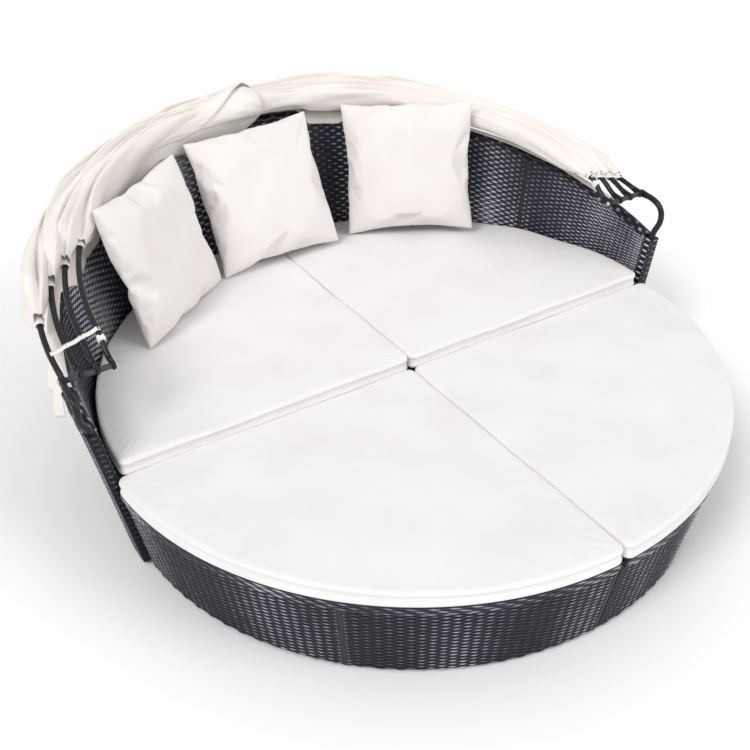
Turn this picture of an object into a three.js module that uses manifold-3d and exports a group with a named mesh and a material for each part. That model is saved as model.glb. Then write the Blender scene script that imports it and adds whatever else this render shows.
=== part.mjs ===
// Round woven daybed for a patio: a half-round sofa with a flared backrest, two quarter-round
// ottomans that pull out from its front, four wedge seat cushions, three throw pillows and a
// folding cloth canopy on bent tube bows. Millimetres, +Z up, the open front faces -Y.
import * as THREE from "three";
import { mergeVertices } from "three/addons/utils/BufferGeometryUtils.js";
import Module from "manifold-3d";

const wasm = await Module();
wasm.setup();
const { degToRad, lerp, smoothstep } = THREE.MathUtils;

// Bases
const ottomanFloorRadius = 842;
const flareAngle = degToRad(11.6);
const ottomanDeckHeight = 284;
const sofaDeckHeight = 317;
const sofaStep = 20;
const seamGap = 4;
const skirtClearance = 12;

// Backrest
const armHeight = 472;
const backHeight = 745;
const shellThickness = 30;
const rimDepth = 17;
const rimOverhang = 3.5;
const endPostDepth = 34;

// Woven skins and what stiffens them
const weaveThickness = 5;
const deckThickness = 4;
const columnWidth = 28;
const columnRelief = 3;
const bandHeight = 30;
const bandRelief = 3;
const bandBevel = 3;
const tieTubeCount = 3;
const uprightInset = 1.2;
const deckInset = 2;
const deckNotchGap = 0.6;
const uprightShares = [1 / 6, 1 / 3, 1 / 2, 2 / 3, 5 / 6];
const columnSpreadShares = [-1, -0.7, 0, 0.7, 1];
const columnClearShare = 1.3;

// Feet
const footRadius = 16;
const footTaper = 3;

// Clearances
const fitGap = 0.3;
const cutOverrun = 2;

// Seat cushions
const cushionThickness = 52;
const ottomanCushionOverhang = 7.7;
const sofaCushionClearance = 8;
const cushionGap = 1;
const cushionCornerRadius = 24;
const cushionCrown = 7;
const cushionPull = 3;
const cushionEdgeRoll = 18;
const crownInset = 200;
const crownShares = [0.25, 0.6, 1];
const cushionInsetShares = [0.9, 0.22, 0, 0, 0.28, 1];
const cushionHeightShares = [0, 0.05, 0.17, 0.8, 0.93, 1];
const cushionWaistShare = 0.48;
const cornerRoundingShare = 0.25;
const leastCornerShare = 0.33;

// Throw pillows, in turn from the left arm to the right one; the angles are in degrees
const pillowWidth = 440;
const pillowThickness = 128;
const pillowEdge = 3;
const pillowDrawIn = 17;
const pillowStandoff = 12;
const pillowHeadroom = 24;
const pillowSwellShare = 0.42;
const pillowCellCount = 10;
const pillowPlaces = [
  { name: "throw_pillow_left", bearing: 127.5, facing: 126, lean: 18, roll: 0.5 },
  { name: "throw_pillow_middle", bearing: 93, facing: 89.5, lean: 25.5, roll: -2 },
  { name: "throw_pillow_right", bearing: 56.5, facing: 58, lean: 14, roll: -2 },
];

// Canopy pivot: one bolt on each arm, through the post and the four bows
const pinY = 110;
const pinHeight = 584;
const boltRadius = 4;
const boltHeadRadius = 8;
const boltHeadLength = 5;
const nutRadius = 7.5;
const nutLength = 9;
const spacerRadius = 8;
const lugThickness = 8;
const lugRadius = 12;
const lugReach = 38;
const tubeSetback = 22;

// Canopy posts
const postRadius = 9.5;
const postX = 968;
const postLean = 5;
const postBendHeight = 48;
const postBendDepth = 68;

// Canopy bows, from the rear one, which lies on the backrest, to the front one
const bowRadius = 8;
const bowSpacing = 43;
const bowLift = 12;
const crankLength = 105;
const rearBowReach = 925;
const bowReachStep = 22;
const bowPlans = [
  { name: "rear", squareness: 2.02 },
  { name: "low", squareness: 2.06 },
  { name: "middle", squareness: 2.1 },
  { name: "front", squareness: 2.14 },
];

// Canopy cloth
const clothThickness = 4;
const drapeSkipSteps = 2;
const rightPanelSkipSteps = 1;
const leftPanelSkipSteps = 3;
const innerFlapDrop = 30;
const tailDrop = 92;
const tailWave = 10;
const bunchHeight = 88;
const sleeveWall = 2;
const sleeveSlit = 2;
const pleatGap = 2;
const pleatLean = 6;
const bunchHeightShares = [0.42, 0.5, 0.72, 0.98, 1, 0.9, 0.98, 0.66, 0.56, 0.78, 0.7, 0.5, 0.4];
const tailFoldCount = 5;
const slowFoldCount = 3;
const leanFoldCount = 5;
const leanPhaseShare = 0.3;
const tailWaveShares = [0.6, 0.4];
const tailDropShares = [0.55, 0.8, 1, 0.86, 0.7, 0.92, 1, 0.84, 0.9, 1, 0.8, 1, 0.6];
const pleatHeightShares = [0.72, 0.9, 1, 0.78];
const pocketOutlineShares = [[0.75, -0.7], [1, 0]];
const waistShare = 0.5;
const shoulderShare = 1.2;
const foldOutlineShares = [[0.86, 0.6], [0.5, 1], [0, 0.84], [-0.5, 0.95], [-0.9, 0.55]];
const foldSwayShares = [0, 1, 1, 1, 0];
const swayLimitShare = 0.25;

// How finely round forms are divided
const halfTurnSteps = 30;
const quarterTurnSteps = 16;
const bowSteps = 26;
const postSteps = 14;
const tubeSides = 8;
const lugArcSteps = 5;
const boreSides = 10;
const pocketSides = 8;
const rimArcSteps = 6;
const cushionCornerSteps = 3;
const cushionSideSteps = 3;
const cushionArcSteps = 12;
const bowSampleCount = 160;
const bowDivisionCount = 600;

// Sizes that follow from the ones above
const flare = Math.tan(flareAngle);
const seatEdge = seamGap / 2;
const cavity = shellThickness - 2 * weaveThickness;
const frameTube = cavity - 2 * fitGap;
const uprightTube = frameTube - 2 * uprightInset;
const boreRadius = boltRadius + fitGap;
const spacerLength = bowSpacing - lugThickness - 2 * fitGap;
const pocketRadius = (bowRadius + fitGap) / Math.cos(Math.PI / pocketSides);
const sleeveRadius = pocketRadius + sleeveWall;
const rearBowX = postX - lugThickness - fitGap;
const frontOrder = bowPlans.length - 1;
const fullTurn = 2 * Math.PI;
const sofaEdge = seatEdge + endPostDepth + fitGap;
const ottomanEdge = seatEdge + weaveThickness + fitGap;
const upright = new THREE.Vector3(0, 0, 1);
const sideways = new THREE.Vector3(1, 0, 0);

function ottomanRadius(height) {
  return ottomanFloorRadius + flare * height;
}

function shellOuterRadius(height) {
  return ottomanRadius(height) + sofaStep;
}

function shellInnerRadius(height) {
  return shellOuterRadius(height) - shellThickness;
}

function shellMiddleRadius(height) {
  return shellOuterRadius(height) - shellThickness / 2;
}

function rimHeight(bearing) {
  return lerp(armHeight, backHeight, Math.sin(bearing));
}

const ottomanCushionRadius = ottomanRadius(ottomanDeckHeight) + ottomanCushionOverhang;
const sofaCushionRadius = shellInnerRadius(sofaDeckHeight) - sofaCushionClearance;

// The bows lie in parallel planes that lean up towards the back, so the rear one seats on the draped rim.
const rearBowSeat = backHeight + clothThickness + sleeveRadius + 2 * fitGap;
const bowTilt = Math.asin((rearBowSeat - pinHeight) / rearBowReach);
const depthDirection = new THREE.Vector3(0, Math.cos(bowTilt), Math.sin(bowTilt));
const riseDirection = new THREE.Vector3(0, -Math.sin(bowTilt), Math.cos(bowTilt));

// Mesh helpers
function capTriangles(ring) {
  const normal = new THREE.Vector3();
  ring.forEach((point, i) => normal.add(point.clone().cross(ring[(i + 1) % ring.length])));
  normal.normalize();
  const first = ring[1].clone().sub(ring[0]).normalize();
  const second = normal.clone().cross(first);
  const flat = ring.map((point) => new THREE.Vector2(point.dot(first), point.dot(second)));
  return THREE.ShapeUtils.triangulateShape(flat, []);
}

// A closed solid through rings of points that all have the same count, with its two ends capped.
function loft(rings) {
  const count = rings[0].length;
  const index = [];
  for (let k = 0; k < rings.length - 1; k += 1) {
    for (let i = 0; i < count; i += 1) {
      const a = k * count + i;
      const b = k * count + ((i + 1) % count);
      index.push(a, b, b + count);
      index.push(a, b + count, a + count);
    }
  }
  const last = (rings.length - 1) * count;
  capTriangles(rings[0]).forEach(([a, b, c]) => index.push(a, c, b));
  capTriangles(rings.at(-1)).forEach(([a, b, c]) => index.push(last + a, last + b, last + c));
  const geometry = new THREE.BufferGeometry();
  const points = rings.flat().flatMap((point) => point.toArray());
  geometry.setAttribute("position", new THREE.Float32BufferAttribute(points, 3));
  geometry.setIndex(index);
  return facingOut(geometry);
}

function signedVolume(geometry) {
  const place = geometry.attributes.position;
  const corner = (i) => new THREE.Vector3().fromBufferAttribute(place, geometry.index.getX(i));
  let total = 0;
  for (let i = 0; i < geometry.index.count; i += 3) {
    total += corner(i).dot(corner(i + 1).cross(corner(i + 2)));
  }
  return total;
}

function facingOut(geometry) {
  if (signedVolume(geometry) > 0) return geometry;
  const turned = [];
  for (let i = 0; i < geometry.index.count; i += 3) {
    turned.push(geometry.index.getX(i), geometry.index.getX(i + 2), geometry.index.getX(i + 1));
  }
  geometry.setIndex(turned);
  return geometry;
}

function welded(geometry) {
  const bare = geometry.clone();
  bare.deleteAttribute("normal");
  bare.deleteAttribute("uv");
  return facingOut(mergeVertices(bare));
}

function toSolid(geometry) {
  const bare = welded(geometry);
  const vertProperties = new Float32Array(bare.attributes.position.array);
  const triVerts = new Uint32Array(bare.index.array);
  return new wasm.Manifold(new wasm.Mesh({ numProp: 3, vertProperties, triVerts }));
}

function fromSolid(solid) {
  const { vertProperties, triVerts } = solid.getMesh();
  const geometry = new THREE.BufferGeometry();
  geometry.setAttribute("position", new THREE.BufferAttribute(vertProperties, 3));
  geometry.setIndex(new THREE.BufferAttribute(triVerts, 1));
  return geometry;
}

function joined(geometries) {
  const [first, ...others] = geometries.map(toSolid);
  return fromSolid(others.reduce((whole, next) => whole.add(next), first));
}

function cut(geometry, cutters) {
  return fromSolid(cutters.map(toSolid).reduce((whole, next) => whole.subtract(next), toSolid(geometry)));
}

function polar(radius, bearing, height) {
  return new THREE.Vector3(radius * Math.cos(bearing), radius * Math.sin(bearing), height);
}

function shareTable(shares, share) {
  const place = share * (shares.length - 1);
  const low = Math.min(Math.floor(place), shares.length - 2);
  return lerp(shares[low], shares[low + 1], smoothstep(place - low, 0, 1));
}

function roundTube(path, radius, steps) {
  const section = new THREE.Shape().absarc(0, 0, radius, 0, 2 * Math.PI);
  const settings = { extrudePath: path, steps, curveSegments: tubeSides / 2, bevelEnabled: false };
  return new THREE.ExtrudeGeometry(section, settings);
}

// A ring of revolution along X, with its bore, from its inner face outwards along the given side.
function sleeveAlongX(innerRadius, outerRadius, length) {
  const profile = [
    new THREE.Vector2(innerRadius, 0),
    new THREE.Vector2(outerRadius, 0),
    new THREE.Vector2(outerRadius, length),
    new THREE.Vector2(innerRadius, length),
    new THREE.Vector2(innerRadius, 0),
  ];
  return new THREE.LatheGeometry(profile, boreSides).rotateZ(-Math.PI / 2);
}

// Curved woven walls, whose square ends keep the given distance from the planes through the centre.
function wallBearing(share, radius, edge, sweep) {
  const start = Math.asin(edge / radius);
  return lerp(start, sweep - start, share);
}

function columnBulge(share, columnShares, arcLength) {
  const nearest = Math.min(...columnShares.map((place) => Math.abs(place - share))) * arcLength;
  const offset = Math.min(1, nearest / (columnWidth / 2));
  return columnRelief * Math.sqrt(1 - offset ** 2);
}

// Even steps, with closer ones over each wrapped column.
function wallShares(steps, columnShares, arcLength) {
  const half = columnWidth / 2 / arcLength;
  const clearance = columnClearShare * half;
  const even = Array.from({ length: steps + 1 }, (unused, i) => i / steps);
  const close = columnShares.flatMap((place) => columnSpreadShares.map((spread) => place + spread * half));
  const clear = even.filter((share) => columnShares.every((place) => Math.abs(place - share) > clearance));
  const all = [...new Set([0, ...clear, ...close, 1])];
  return all.filter((share) => share >= 0 && share <= 1).sort((a, b) => a - b);
}

function wall({ edge, sweep, steps, columnShares, outline }) {
  const arcLength = sweep * ottomanFloorRadius;
  const rings = wallShares(steps, columnShares, arcLength).map((share) => {
    const bulge = columnBulge(share, columnShares, arcLength);
    return outline(lerp(0, sweep, share), bulge).map(([radius, height]) =>
      polar(radius, wallBearing(share, radius, edge, sweep), height),
    );
  });
  return loft(rings);
}

// A flat vertical panel between two heights, whose side edges may lean.
function flatPanel(corners, thickness, direction) {
  const far = corners.map((corner) => corner.clone().addScaledVector(direction, thickness));
  return loft([corners, far]);
}

function squareTube(start, end, across, size) {
  const along = end.clone().sub(start).normalize();
  const first = across.clone().normalize().multiplyScalar(size / 2);
  const second = along.cross(across).normalize().multiplyScalar(size / 2);
  const ringAt = (centre) => [
    centre.clone().add(first).add(second),
    centre.clone().sub(first).add(second),
    centre.clone().sub(first).sub(second),
    centre.clone().add(first).sub(second),
  ];
  return loft([ringAt(start), ringAt(end)]);
}

// A square tube bent round the bed, with its outer face on the given cone.
function bentRail(outerRadiusAt, heightAt, edge, sweep, steps, columnShares) {
  return wall({
    edge,
    sweep,
    steps,
    columnShares,
    outline: (bearing) => {
      const top = heightAt(bearing);
      const bottom = top - frameTube;
      return [
        [outerRadiusAt(bottom), bottom],
        [outerRadiusAt(top), top],
        [outerRadiusAt(top) - frameTube, top],
        [outerRadiusAt(bottom) - frameTube, bottom],
      ];
    },
  });
}

// An upright frame tube inside a flared wall, at one bearing.
function leaningTube(outerRadiusAt, bearing, bottom, top, size) {
  const centreAt = (height) => polar(outerRadiusAt(height) - frameTube / 2, bearing, height);
  const across = new THREE.Vector3(-Math.sin(bearing), Math.cos(bearing), 0);
  return squareTube(centreAt(bottom), centreAt(top), across, size);
}

function foot(centre) {
  const profile = [
    new THREE.Vector2(0, 0),
    new THREE.Vector2(footRadius - footTaper, 0),
    new THREE.Vector2(footRadius, skirtClearance - fitGap),
    new THREE.Vector2(0, skirtClearance - fitGap),
  ];
  return new THREE.LatheGeometry(profile, boreSides).rotateX(Math.PI / 2).translate(centre.x, centre.y, 0);
}

// Sofa
function skinTop(bearing) {
  return rimHeight(bearing) - rimDepth - fitGap;
}

function sofaOuterWeave() {
  return wall({
    edge: sofaEdge,
    sweep: Math.PI,
    steps: halfTurnSteps,
    columnShares: uprightShares,
    outline: (bearing, bulge) => {
      const top = skinTop(bearing);
      return [
        [shellOuterRadius(skirtClearance) + bulge, skirtClearance],
        [shellOuterRadius(top) + bulge, top],
        [shellOuterRadius(top) - weaveThickness, top],
        [shellOuterRadius(skirtClearance) - weaveThickness, skirtClearance],
      ];
    },
  });
}

function backrestInnerWeave() {
  const bottom = sofaDeckHeight + fitGap;
  return wall({
    edge: sofaEdge,
    sweep: Math.PI,
    steps: halfTurnSteps,
    columnShares: uprightShares,
    outline: (bearing, bulge) => {
      const top = skinTop(bearing);
      return [
        [shellInnerRadius(bottom) + weaveThickness, bottom],
        [shellInnerRadius(top) + weaveThickness, top],
        [shellInnerRadius(top) - bulge, top],
        [shellInnerRadius(bottom) - bulge, bottom],
      ];
    },
  });
}

function rimOutline(grow, bearing) {
  const halfWidth = shellThickness / 2 + rimOverhang + grow;
  const bottom = rimHeight(bearing) - rimDepth;
  return Array.from({ length: rimArcSteps + 1 }, (unused, i) => {
    const turn = (Math.PI * i) / rimArcSteps;
    const height = bottom + (rimDepth + grow) * Math.sin(turn);
    return [shellMiddleRadius(bottom) + halfWidth * Math.cos(turn), height];
  });
}

function backrestRim() {
  return wall({
    edge: sofaEdge,
    sweep: Math.PI,
    steps: halfTurnSteps,
    columnShares: [],
    outline: (bearing) => rimOutline(0, bearing),
  });
}

function cavityRadius(height) {
  return shellOuterRadius(height) - weaveThickness - fitGap;
}

function tieTubes(top) {
  const span = cavityRadius(top) - frameTube;
  return Array.from({ length: tieTubeCount }, (unused, i) => {
    const x = lerp(-span, span, (i + 1) / (tieTubeCount + 1));
    const start = new THREE.Vector3(x, sofaEdge - frameTube / 2, top - frameTube / 2);
    const end = new THREE.Vector3(x, Math.sqrt(span ** 2 - x ** 2), top - frameTube / 2);
    return squareTube(start, end, upright, frameTube);
  });
}

const floorRailTop = skirtClearance + frameTube;
const seatRailTop = sofaDeckHeight - deckThickness - fitGap;

function uprightBearing(share) {
  return wallBearing(share, shellMiddleRadius(sofaDeckHeight), sofaEdge, Math.PI);
}

function sofaUprights(size, bottom, topAt) {
  return uprightShares.map((share) => {
    return leaningTube(cavityRadius, uprightBearing(share), bottom, topAt(share * Math.PI), size);
  });
}

function sofaFrame() {
  const topRailTop = (bearing) => skinTop(bearing) - fitGap;
  const uprightTop = (bearing) => topRailTop(bearing) - frameTube;
  const railAt = (heightAt, shares) => {
    return bentRail(cavityRadius, heightAt, sofaEdge, Math.PI, halfTurnSteps, shares);
  };
  return joined([
    railAt(() => floorRailTop, []),
    railAt(() => seatRailTop, []),
    railAt(topRailTop, uprightShares),
    ...sofaUprights(uprightTube, floorRailTop - frameTube / 2, uprightTop),
    ...sofaChord(floorRailTop),
    ...sofaChord(seatRailTop),
    ...tieTubes(seatRailTop),
  ]);
}

// The straight tube across the sofa's front, behind the front weave and between the arm ends.
function sofaChord(top) {
  const y = seatEdge + weaveThickness + fitGap + frameTube / 2;
  const z = top - frameTube / 2;
  const tube = (x0, y0, x1, y1) => {
    return squareTube(new THREE.Vector3(x0, y0, z), new THREE.Vector3(x1, y1, z), upright, frameTube);
  };
  const reach = shellInnerRadius(top - frameTube) - fitGap;
  const turnY = sofaEdge + frameTube / 2;
  const turnEnd = turnY + frameTube / 2;
  const outer = Math.sqrt(cavityRadius(top - frameTube) ** 2 - turnEnd ** 2) - uprightInset;
  const corners = [-1, 1].flatMap((side) => {
    const x = side * (reach - frameTube / 2);
    return [tube(x, y, x, turnEnd), tube(x, turnY, side * outer, turnY)];
  });
  return [tube(-reach, y, reach, y), ...corners];
}

function sofaFrontWeave() {
  const bottom = skirtClearance;
  const top = sofaDeckHeight;
  const reachAt = (height) => shellInnerRadius(height) - fitGap;
  const corners = [
    new THREE.Vector3(-reachAt(bottom), seatEdge, bottom),
    new THREE.Vector3(reachAt(bottom), seatEdge, bottom),
    new THREE.Vector3(reachAt(top), seatEdge, top),
    new THREE.Vector3(-reachAt(top), seatEdge, top),
  ];
  return flatPanel(corners, weaveThickness, new THREE.Vector3(0, 1, 0));
}

// The half-round seat deck, notched round the frame's uprights and drawn in beside the arm ends.
function sofaDeck() {
  const bottom = sofaDeckHeight - deckThickness;
  const radius = cavityRadius(bottom) - deckInset;
  const front = seatEdge + weaveThickness + fitGap;
  const inner = shellInnerRadius(bottom) - fitGap;
  const shape = new THREE.Shape();
  const start = Math.asin(sofaEdge / radius);
  shape.moveTo(-inner, front);
  shape.lineTo(inner, front);
  shape.lineTo(inner, sofaEdge);
  shape.absarc(0, 0, radius, start, Math.PI - start);
  shape.lineTo(-inner, sofaEdge);
  const settings = { depth: deckThickness, curveSegments: halfTurnSteps, bevelEnabled: false };
  const plate = new THREE.ExtrudeGeometry(shape, settings).translate(0, 0, bottom);
  const notchTop = () => sofaDeckHeight + cutOverrun;
  return cut(plate, sofaUprights(uprightTube + 2 * deckNotchGap, bottom - cutOverrun, notchTop));
}

// Canopy posts rise inside the wrapped arm ends, bend back and end in a flat lug on the pivot bolt.
function postCentre(side, height) {
  return new THREE.Vector3(side * shellMiddleRadius(height), seatEdge + endPostDepth / 2, height);
}

function postBend(side) {
  const collar = postCentre(side, armHeight);
  const y = collar.y - postLean;
  const lean = collar.clone().sub(postCentre(side, skirtClearance)).normalize();
  const rise = new THREE.Vector3(side * postX, y, pinHeight - postBendHeight);
  const crown = new THREE.Vector3(side * postX, y, pinHeight);
  const bendEnd = new THREE.Vector3(side * postX, y + postBendDepth, pinHeight);
  const ease = (rise.z - collar.z) / 2;
  const path = new THREE.CurvePath();
  const fromCollar = collar.clone().addScaledVector(lean, ease);
  const toRise = rise.clone().addScaledVector(upright, -ease);
  path.add(new THREE.CubicBezierCurve3(collar, fromCollar, toRise, rise));
  path.add(new THREE.QuadraticBezierCurve3(rise, crown, bendEnd));
  return path;
}

function lug(x, depthAxis, riseAxis) {
  const shape = new THREE.Shape();
  shape.moveTo(lugReach, -bowRadius);
  shape.lineTo(lugReach, bowRadius);
  shape.lineTo(0, lugRadius);
  shape.absarc(0, 0, lugRadius, Math.PI / 2, (3 * Math.PI) / 2);
  shape.holes.push(new THREE.Path().absarc(0, 0, boreRadius, 0, 2 * Math.PI));
  const settings = { depth: lugThickness, curveSegments: lugArcSteps, bevelEnabled: false };
  const place = new THREE.Matrix4().makeBasis(depthAxis, riseAxis, sideways);
  place.setPosition(x - lugThickness / 2, pinY, pinHeight);
  return new THREE.ExtrudeGeometry(shape, settings).applyMatrix4(place);
}

function canopyPost(side) {
  const lowEnd = postCentre(side, skirtClearance);
  const straight = new THREE.LineCurve3(lowEnd, postCentre(side, armHeight + cutOverrun));
  const back = new THREE.Vector3(0, -1, 0);
  const down = new THREE.Vector3(0, 0, -1);
  const flat = lug(side * postX, back, down);
  return joined([roundTube(straight, postRadius, 1), roundTube(postBend(side), postRadius, postSteps), flat]);
}

function armEndWrap(side) {
  const ringAt = (height) => {
    const outer = side * shellOuterRadius(height);
    const inner = side * shellInnerRadius(height);
    return [
      new THREE.Vector3(outer, seatEdge, height),
      new THREE.Vector3(inner, seatEdge, height),
      new THREE.Vector3(inner, seatEdge + endPostDepth, height),
      new THREE.Vector3(outer, seatEdge + endPostDepth, height),
    ];
  };
  const block = loft([ringAt(skirtClearance), ringAt(armHeight)]);
  const bore = new THREE.LineCurve3(
    postCentre(side, skirtClearance - postRadius),
    postCentre(side, armHeight + postRadius),
  );
  const boreSize = (postRadius + fitGap) / Math.cos(Math.PI / tubeSides);
  return cut(block, [roundTube(bore, boreSize, 1)]);
}

// Canopy bows: bent tubes whose ends are cranked, so that the folded bows nest above each other.
function bowPlanePoint(x, depth, rise) {
  const point = new THREE.Vector3(x, pinY, pinHeight);
  return point.addScaledVector(depthDirection, depth).addScaledVector(riseDirection, rise);
}

class BowCurve extends THREE.Curve {
  constructor(order) {
    super();
    this.halfWidth = rearBowX - order * bowSpacing;
    this.reach = rearBowReach - order * bowReachStep;
    this.lift = order * bowLift;
    this.power = 2 / bowPlans[order].squareness;
    this.arcLengthDivisions = bowDivisionCount;
  }

  getPoint(share, target = new THREE.Vector3()) {
    const turn = Math.PI * share;
    const x = this.halfWidth * Math.sign(Math.cos(turn)) * Math.abs(Math.cos(turn)) ** this.power;
    const depth = lerp(tubeSetback, this.reach, Math.max(0, Math.sin(turn)) ** this.power);
    const rise = this.lift * smoothstep(depth, tubeSetback, crankLength);
    return target.copy(bowPlanePoint(x, depth, rise));
  }
}

const bowCurves = bowPlans.map((plan, order) => new BowCurve(order));
const frontBowPoints = bowCurves[frontOrder].getPoints(bowSampleCount);

function canopyBow(order) {
  const curve = bowCurves[order];
  const lugs = [-1, 1].map((side) => lug(side * curve.halfWidth, depthDirection, riseDirection));
  return joined([roundTube(curve, bowRadius, bowSteps), ...lugs]);
}

// Pivot hardware, made along +X for the right side
const nutSeat = rearBowX - frontOrder * bowSpacing - lugThickness / 2 - fitGap;

function pivotBolt() {
  const outer = postX + lugThickness / 2 + fitGap;
  const inner = nutSeat - nutLength / 2;
  const profile = [
    new THREE.Vector2(0, inner),
    new THREE.Vector2(boltRadius, inner),
    new THREE.Vector2(boltRadius, outer),
    new THREE.Vector2(boltHeadRadius, outer),
    new THREE.Vector2(boltHeadRadius, outer + boltHeadLength / 2),
    new THREE.Vector2(boltHeadRadius / 2, outer + boltHeadLength),
    new THREE.Vector2(0, outer + boltHeadLength),
  ];
  return new THREE.LatheGeometry(profile, boreSides).rotateZ(-Math.PI / 2);
}

function domeNut() {
  const crown = nutSeat - nutLength;
  const floor = nutSeat - nutLength / 2 - fitGap;
  const profile = [
    new THREE.Vector2(0, crown),
    new THREE.Vector2(nutRadius / 2, crown),
    new THREE.Vector2(nutRadius, floor),
    new THREE.Vector2(nutRadius, nutSeat),
    new THREE.Vector2(boreRadius, nutSeat),
    new THREE.Vector2(boreRadius, floor),
    new THREE.Vector2(0, floor),
  ];
  return new THREE.LatheGeometry(profile, boreSides).rotateZ(-Math.PI / 2);
}

function spacer(order) {
  const start = rearBowX - (order + 1) * bowSpacing + lugThickness / 2 + fitGap;
  return sleeveAlongX(boreRadius, spacerRadius, spacerLength).translate(start, 0, 0);
}

// Ottomans, made in the quarter where x and y are positive and then turned to their places
const ottomanColumnShares = [0.5];

function ottomanSkirt() {
  const top = ottomanDeckHeight;
  const bandFoot = top - bandHeight;
  return wall({
    edge: ottomanEdge,
    sweep: Math.PI / 2,
    steps: quarterTurnSteps,
    columnShares: ottomanColumnShares,
    outline: (bearing, bulge) => [
      [ottomanRadius(skirtClearance) + bulge, skirtClearance],
      [ottomanRadius(bandFoot) + bulge, bandFoot],
      [ottomanRadius(bandFoot + bandBevel) + bandRelief, bandFoot + bandBevel],
      [ottomanRadius(top - bandBevel) + bandRelief, top - bandBevel],
      [ottomanRadius(top), top],
      [ottomanRadius(top) - weaveThickness, top],
      [ottomanRadius(skirtClearance) - weaveThickness, skirtClearance],
    ],
  });
}

// One flat side, in the plane y = edge of the seam; start is where it begins along x.
function ottomanSide(start) {
  const reachAt = (height) => Math.sqrt(ottomanRadius(height) ** 2 - ottomanEdge ** 2);
  const corners = [
    new THREE.Vector3(start, seatEdge, skirtClearance),
    new THREE.Vector3(reachAt(skirtClearance), seatEdge, skirtClearance),
    new THREE.Vector3(reachAt(ottomanDeckHeight), seatEdge, ottomanDeckHeight),
    new THREE.Vector3(start, seatEdge, ottomanDeckHeight),
  ];
  return flatPanel(corners, weaveThickness, new THREE.Vector3(0, 1, 0));
}

function ottomanSideAlongX() {
  return ottomanSide(seatEdge);
}

// The second side is the first one mirrored about the quarter's diagonal, and shorter by the corner.
function ottomanSideAlongY() {
  const swap = new THREE.Matrix4().set(0, 1, 0, 0, 1, 0, 0, 0, 0, 0, 1, 0, 0, 0, 0, 1);
  return facingOut(ottomanSide(ottomanEdge).applyMatrix4(swap));
}

function ottomanCavityRadius(height) {
  return ottomanRadius(height) - weaveThickness - fitGap;
}

function ottomanRailLoop(top) {
  const near = ottomanEdge + frameTube / 2;
  const far = Math.sqrt((ottomanCavityRadius(top - frameTube) - frameTube / 2) ** 2 - near ** 2);
  const z = top - frameTube / 2;
  const corner = new THREE.Vector3(ottomanEdge, near, z);
  const alongX = squareTube(corner, new THREE.Vector3(far, near, z), upright, frameTube);
  const start = new THREE.Vector3(near, ottomanEdge, z);
  const alongY = squareTube(start, new THREE.Vector3(near, far, z), upright, frameTube);
  const arc = bentRail(
    ottomanCavityRadius,
    () => top,
    ottomanEdge,
    Math.PI / 2,
    quarterTurnSteps,
    ottomanColumnShares,
  );
  return [alongX, alongY, arc];
}

const ottomanRailTop = ottomanDeckHeight - deckThickness - fitGap;

function ottomanFrame() {
  const bottom = floorRailTop - frameTube / 2;
  const top = ottomanRailTop - frameTube / 2;
  const near = ottomanEdge + frameTube / 2;
  const corner = squareTube(
    new THREE.Vector3(near, near, bottom),
    new THREE.Vector3(near, near, top),
    sideways,
    frameTube,
  );
  const radius = ottomanCavityRadius(skirtClearance);
  const endTurn = Math.asin((ottomanEdge + frameTube) / radius);
  const bearings = [endTurn, Math.PI / 4, Math.PI / 2 - endTurn];
  const posts = bearings.map((bearing) => {
    return leaningTube(ottomanCavityRadius, bearing, bottom, top, uprightTube);
  });
  const brace = squareTube(
    new THREE.Vector3(near, near, top),
    polar(ottomanCavityRadius(top) - frameTube / 2, Math.PI / 4, top),
    upright,
    frameTube,
  );
  const loops = [floorRailTop, ottomanRailTop].flatMap(ottomanRailLoop);
  return joined([...loops, corner, ...posts, brace]);
}

function ottomanDeck() {
  const bottom = ottomanDeckHeight - deckThickness;
  const radius = ottomanCavityRadius(bottom) - deckInset;
  const start = Math.asin(ottomanEdge / radius);
  const shape = new THREE.Shape();
  shape.moveTo(ottomanEdge, ottomanEdge);
  shape.absarc(0, 0, radius, start, Math.PI / 2 - start);
  const settings = { depth: deckThickness, curveSegments: quarterTurnSteps, bevelEnabled: false };
  return new THREE.ExtrudeGeometry(shape, settings).translate(0, 0, bottom);
}

// Seat cushions: a quarter wedge with rounded corners, drawn-in sides and a crowned top
function wedgeOutline(radius, inset, cornerRadius) {
  const near = inset + cornerRadius;
  const reach = radius - inset - cornerRadius;
  const far = Math.sqrt(reach ** 2 - near ** 2);
  const tip = Math.asin(near / reach);
  const points = [];
  const arc = (x, y, from, to, size, steps) => {
    for (let i = 0; i <= steps; i += 1) {
      const turn = lerp(from, to, i / steps);
      points.push(new THREE.Vector2(x + size * Math.cos(turn), y + size * Math.sin(turn)));
    }
  };
  const side = (from, to) => {
    for (let i = 1; i < cushionSideSteps; i += 1) points.push(from.clone().lerp(to, i / cushionSideSteps));
  };
  arc(near, near, Math.PI, 1.5 * Math.PI, cornerRadius, cushionCornerSteps);
  side(new THREE.Vector2(near, inset), new THREE.Vector2(far, inset));
  arc(far, near, 1.5 * Math.PI, 2 * Math.PI + tip, cornerRadius, cushionCornerSteps);
  for (let i = 1; i < cushionArcSteps; i += 1) {
    const turn = lerp(tip, Math.PI / 2 - tip, i / cushionArcSteps);
    points.push(new THREE.Vector2(Math.cos(turn), Math.sin(turn)).multiplyScalar(radius - inset));
  }
  arc(near, far, Math.PI / 2 - tip, Math.PI, cornerRadius, cushionCornerSteps);
  side(new THREE.Vector2(inset, far), new THREE.Vector2(inset, near));
  return points;
}

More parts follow.
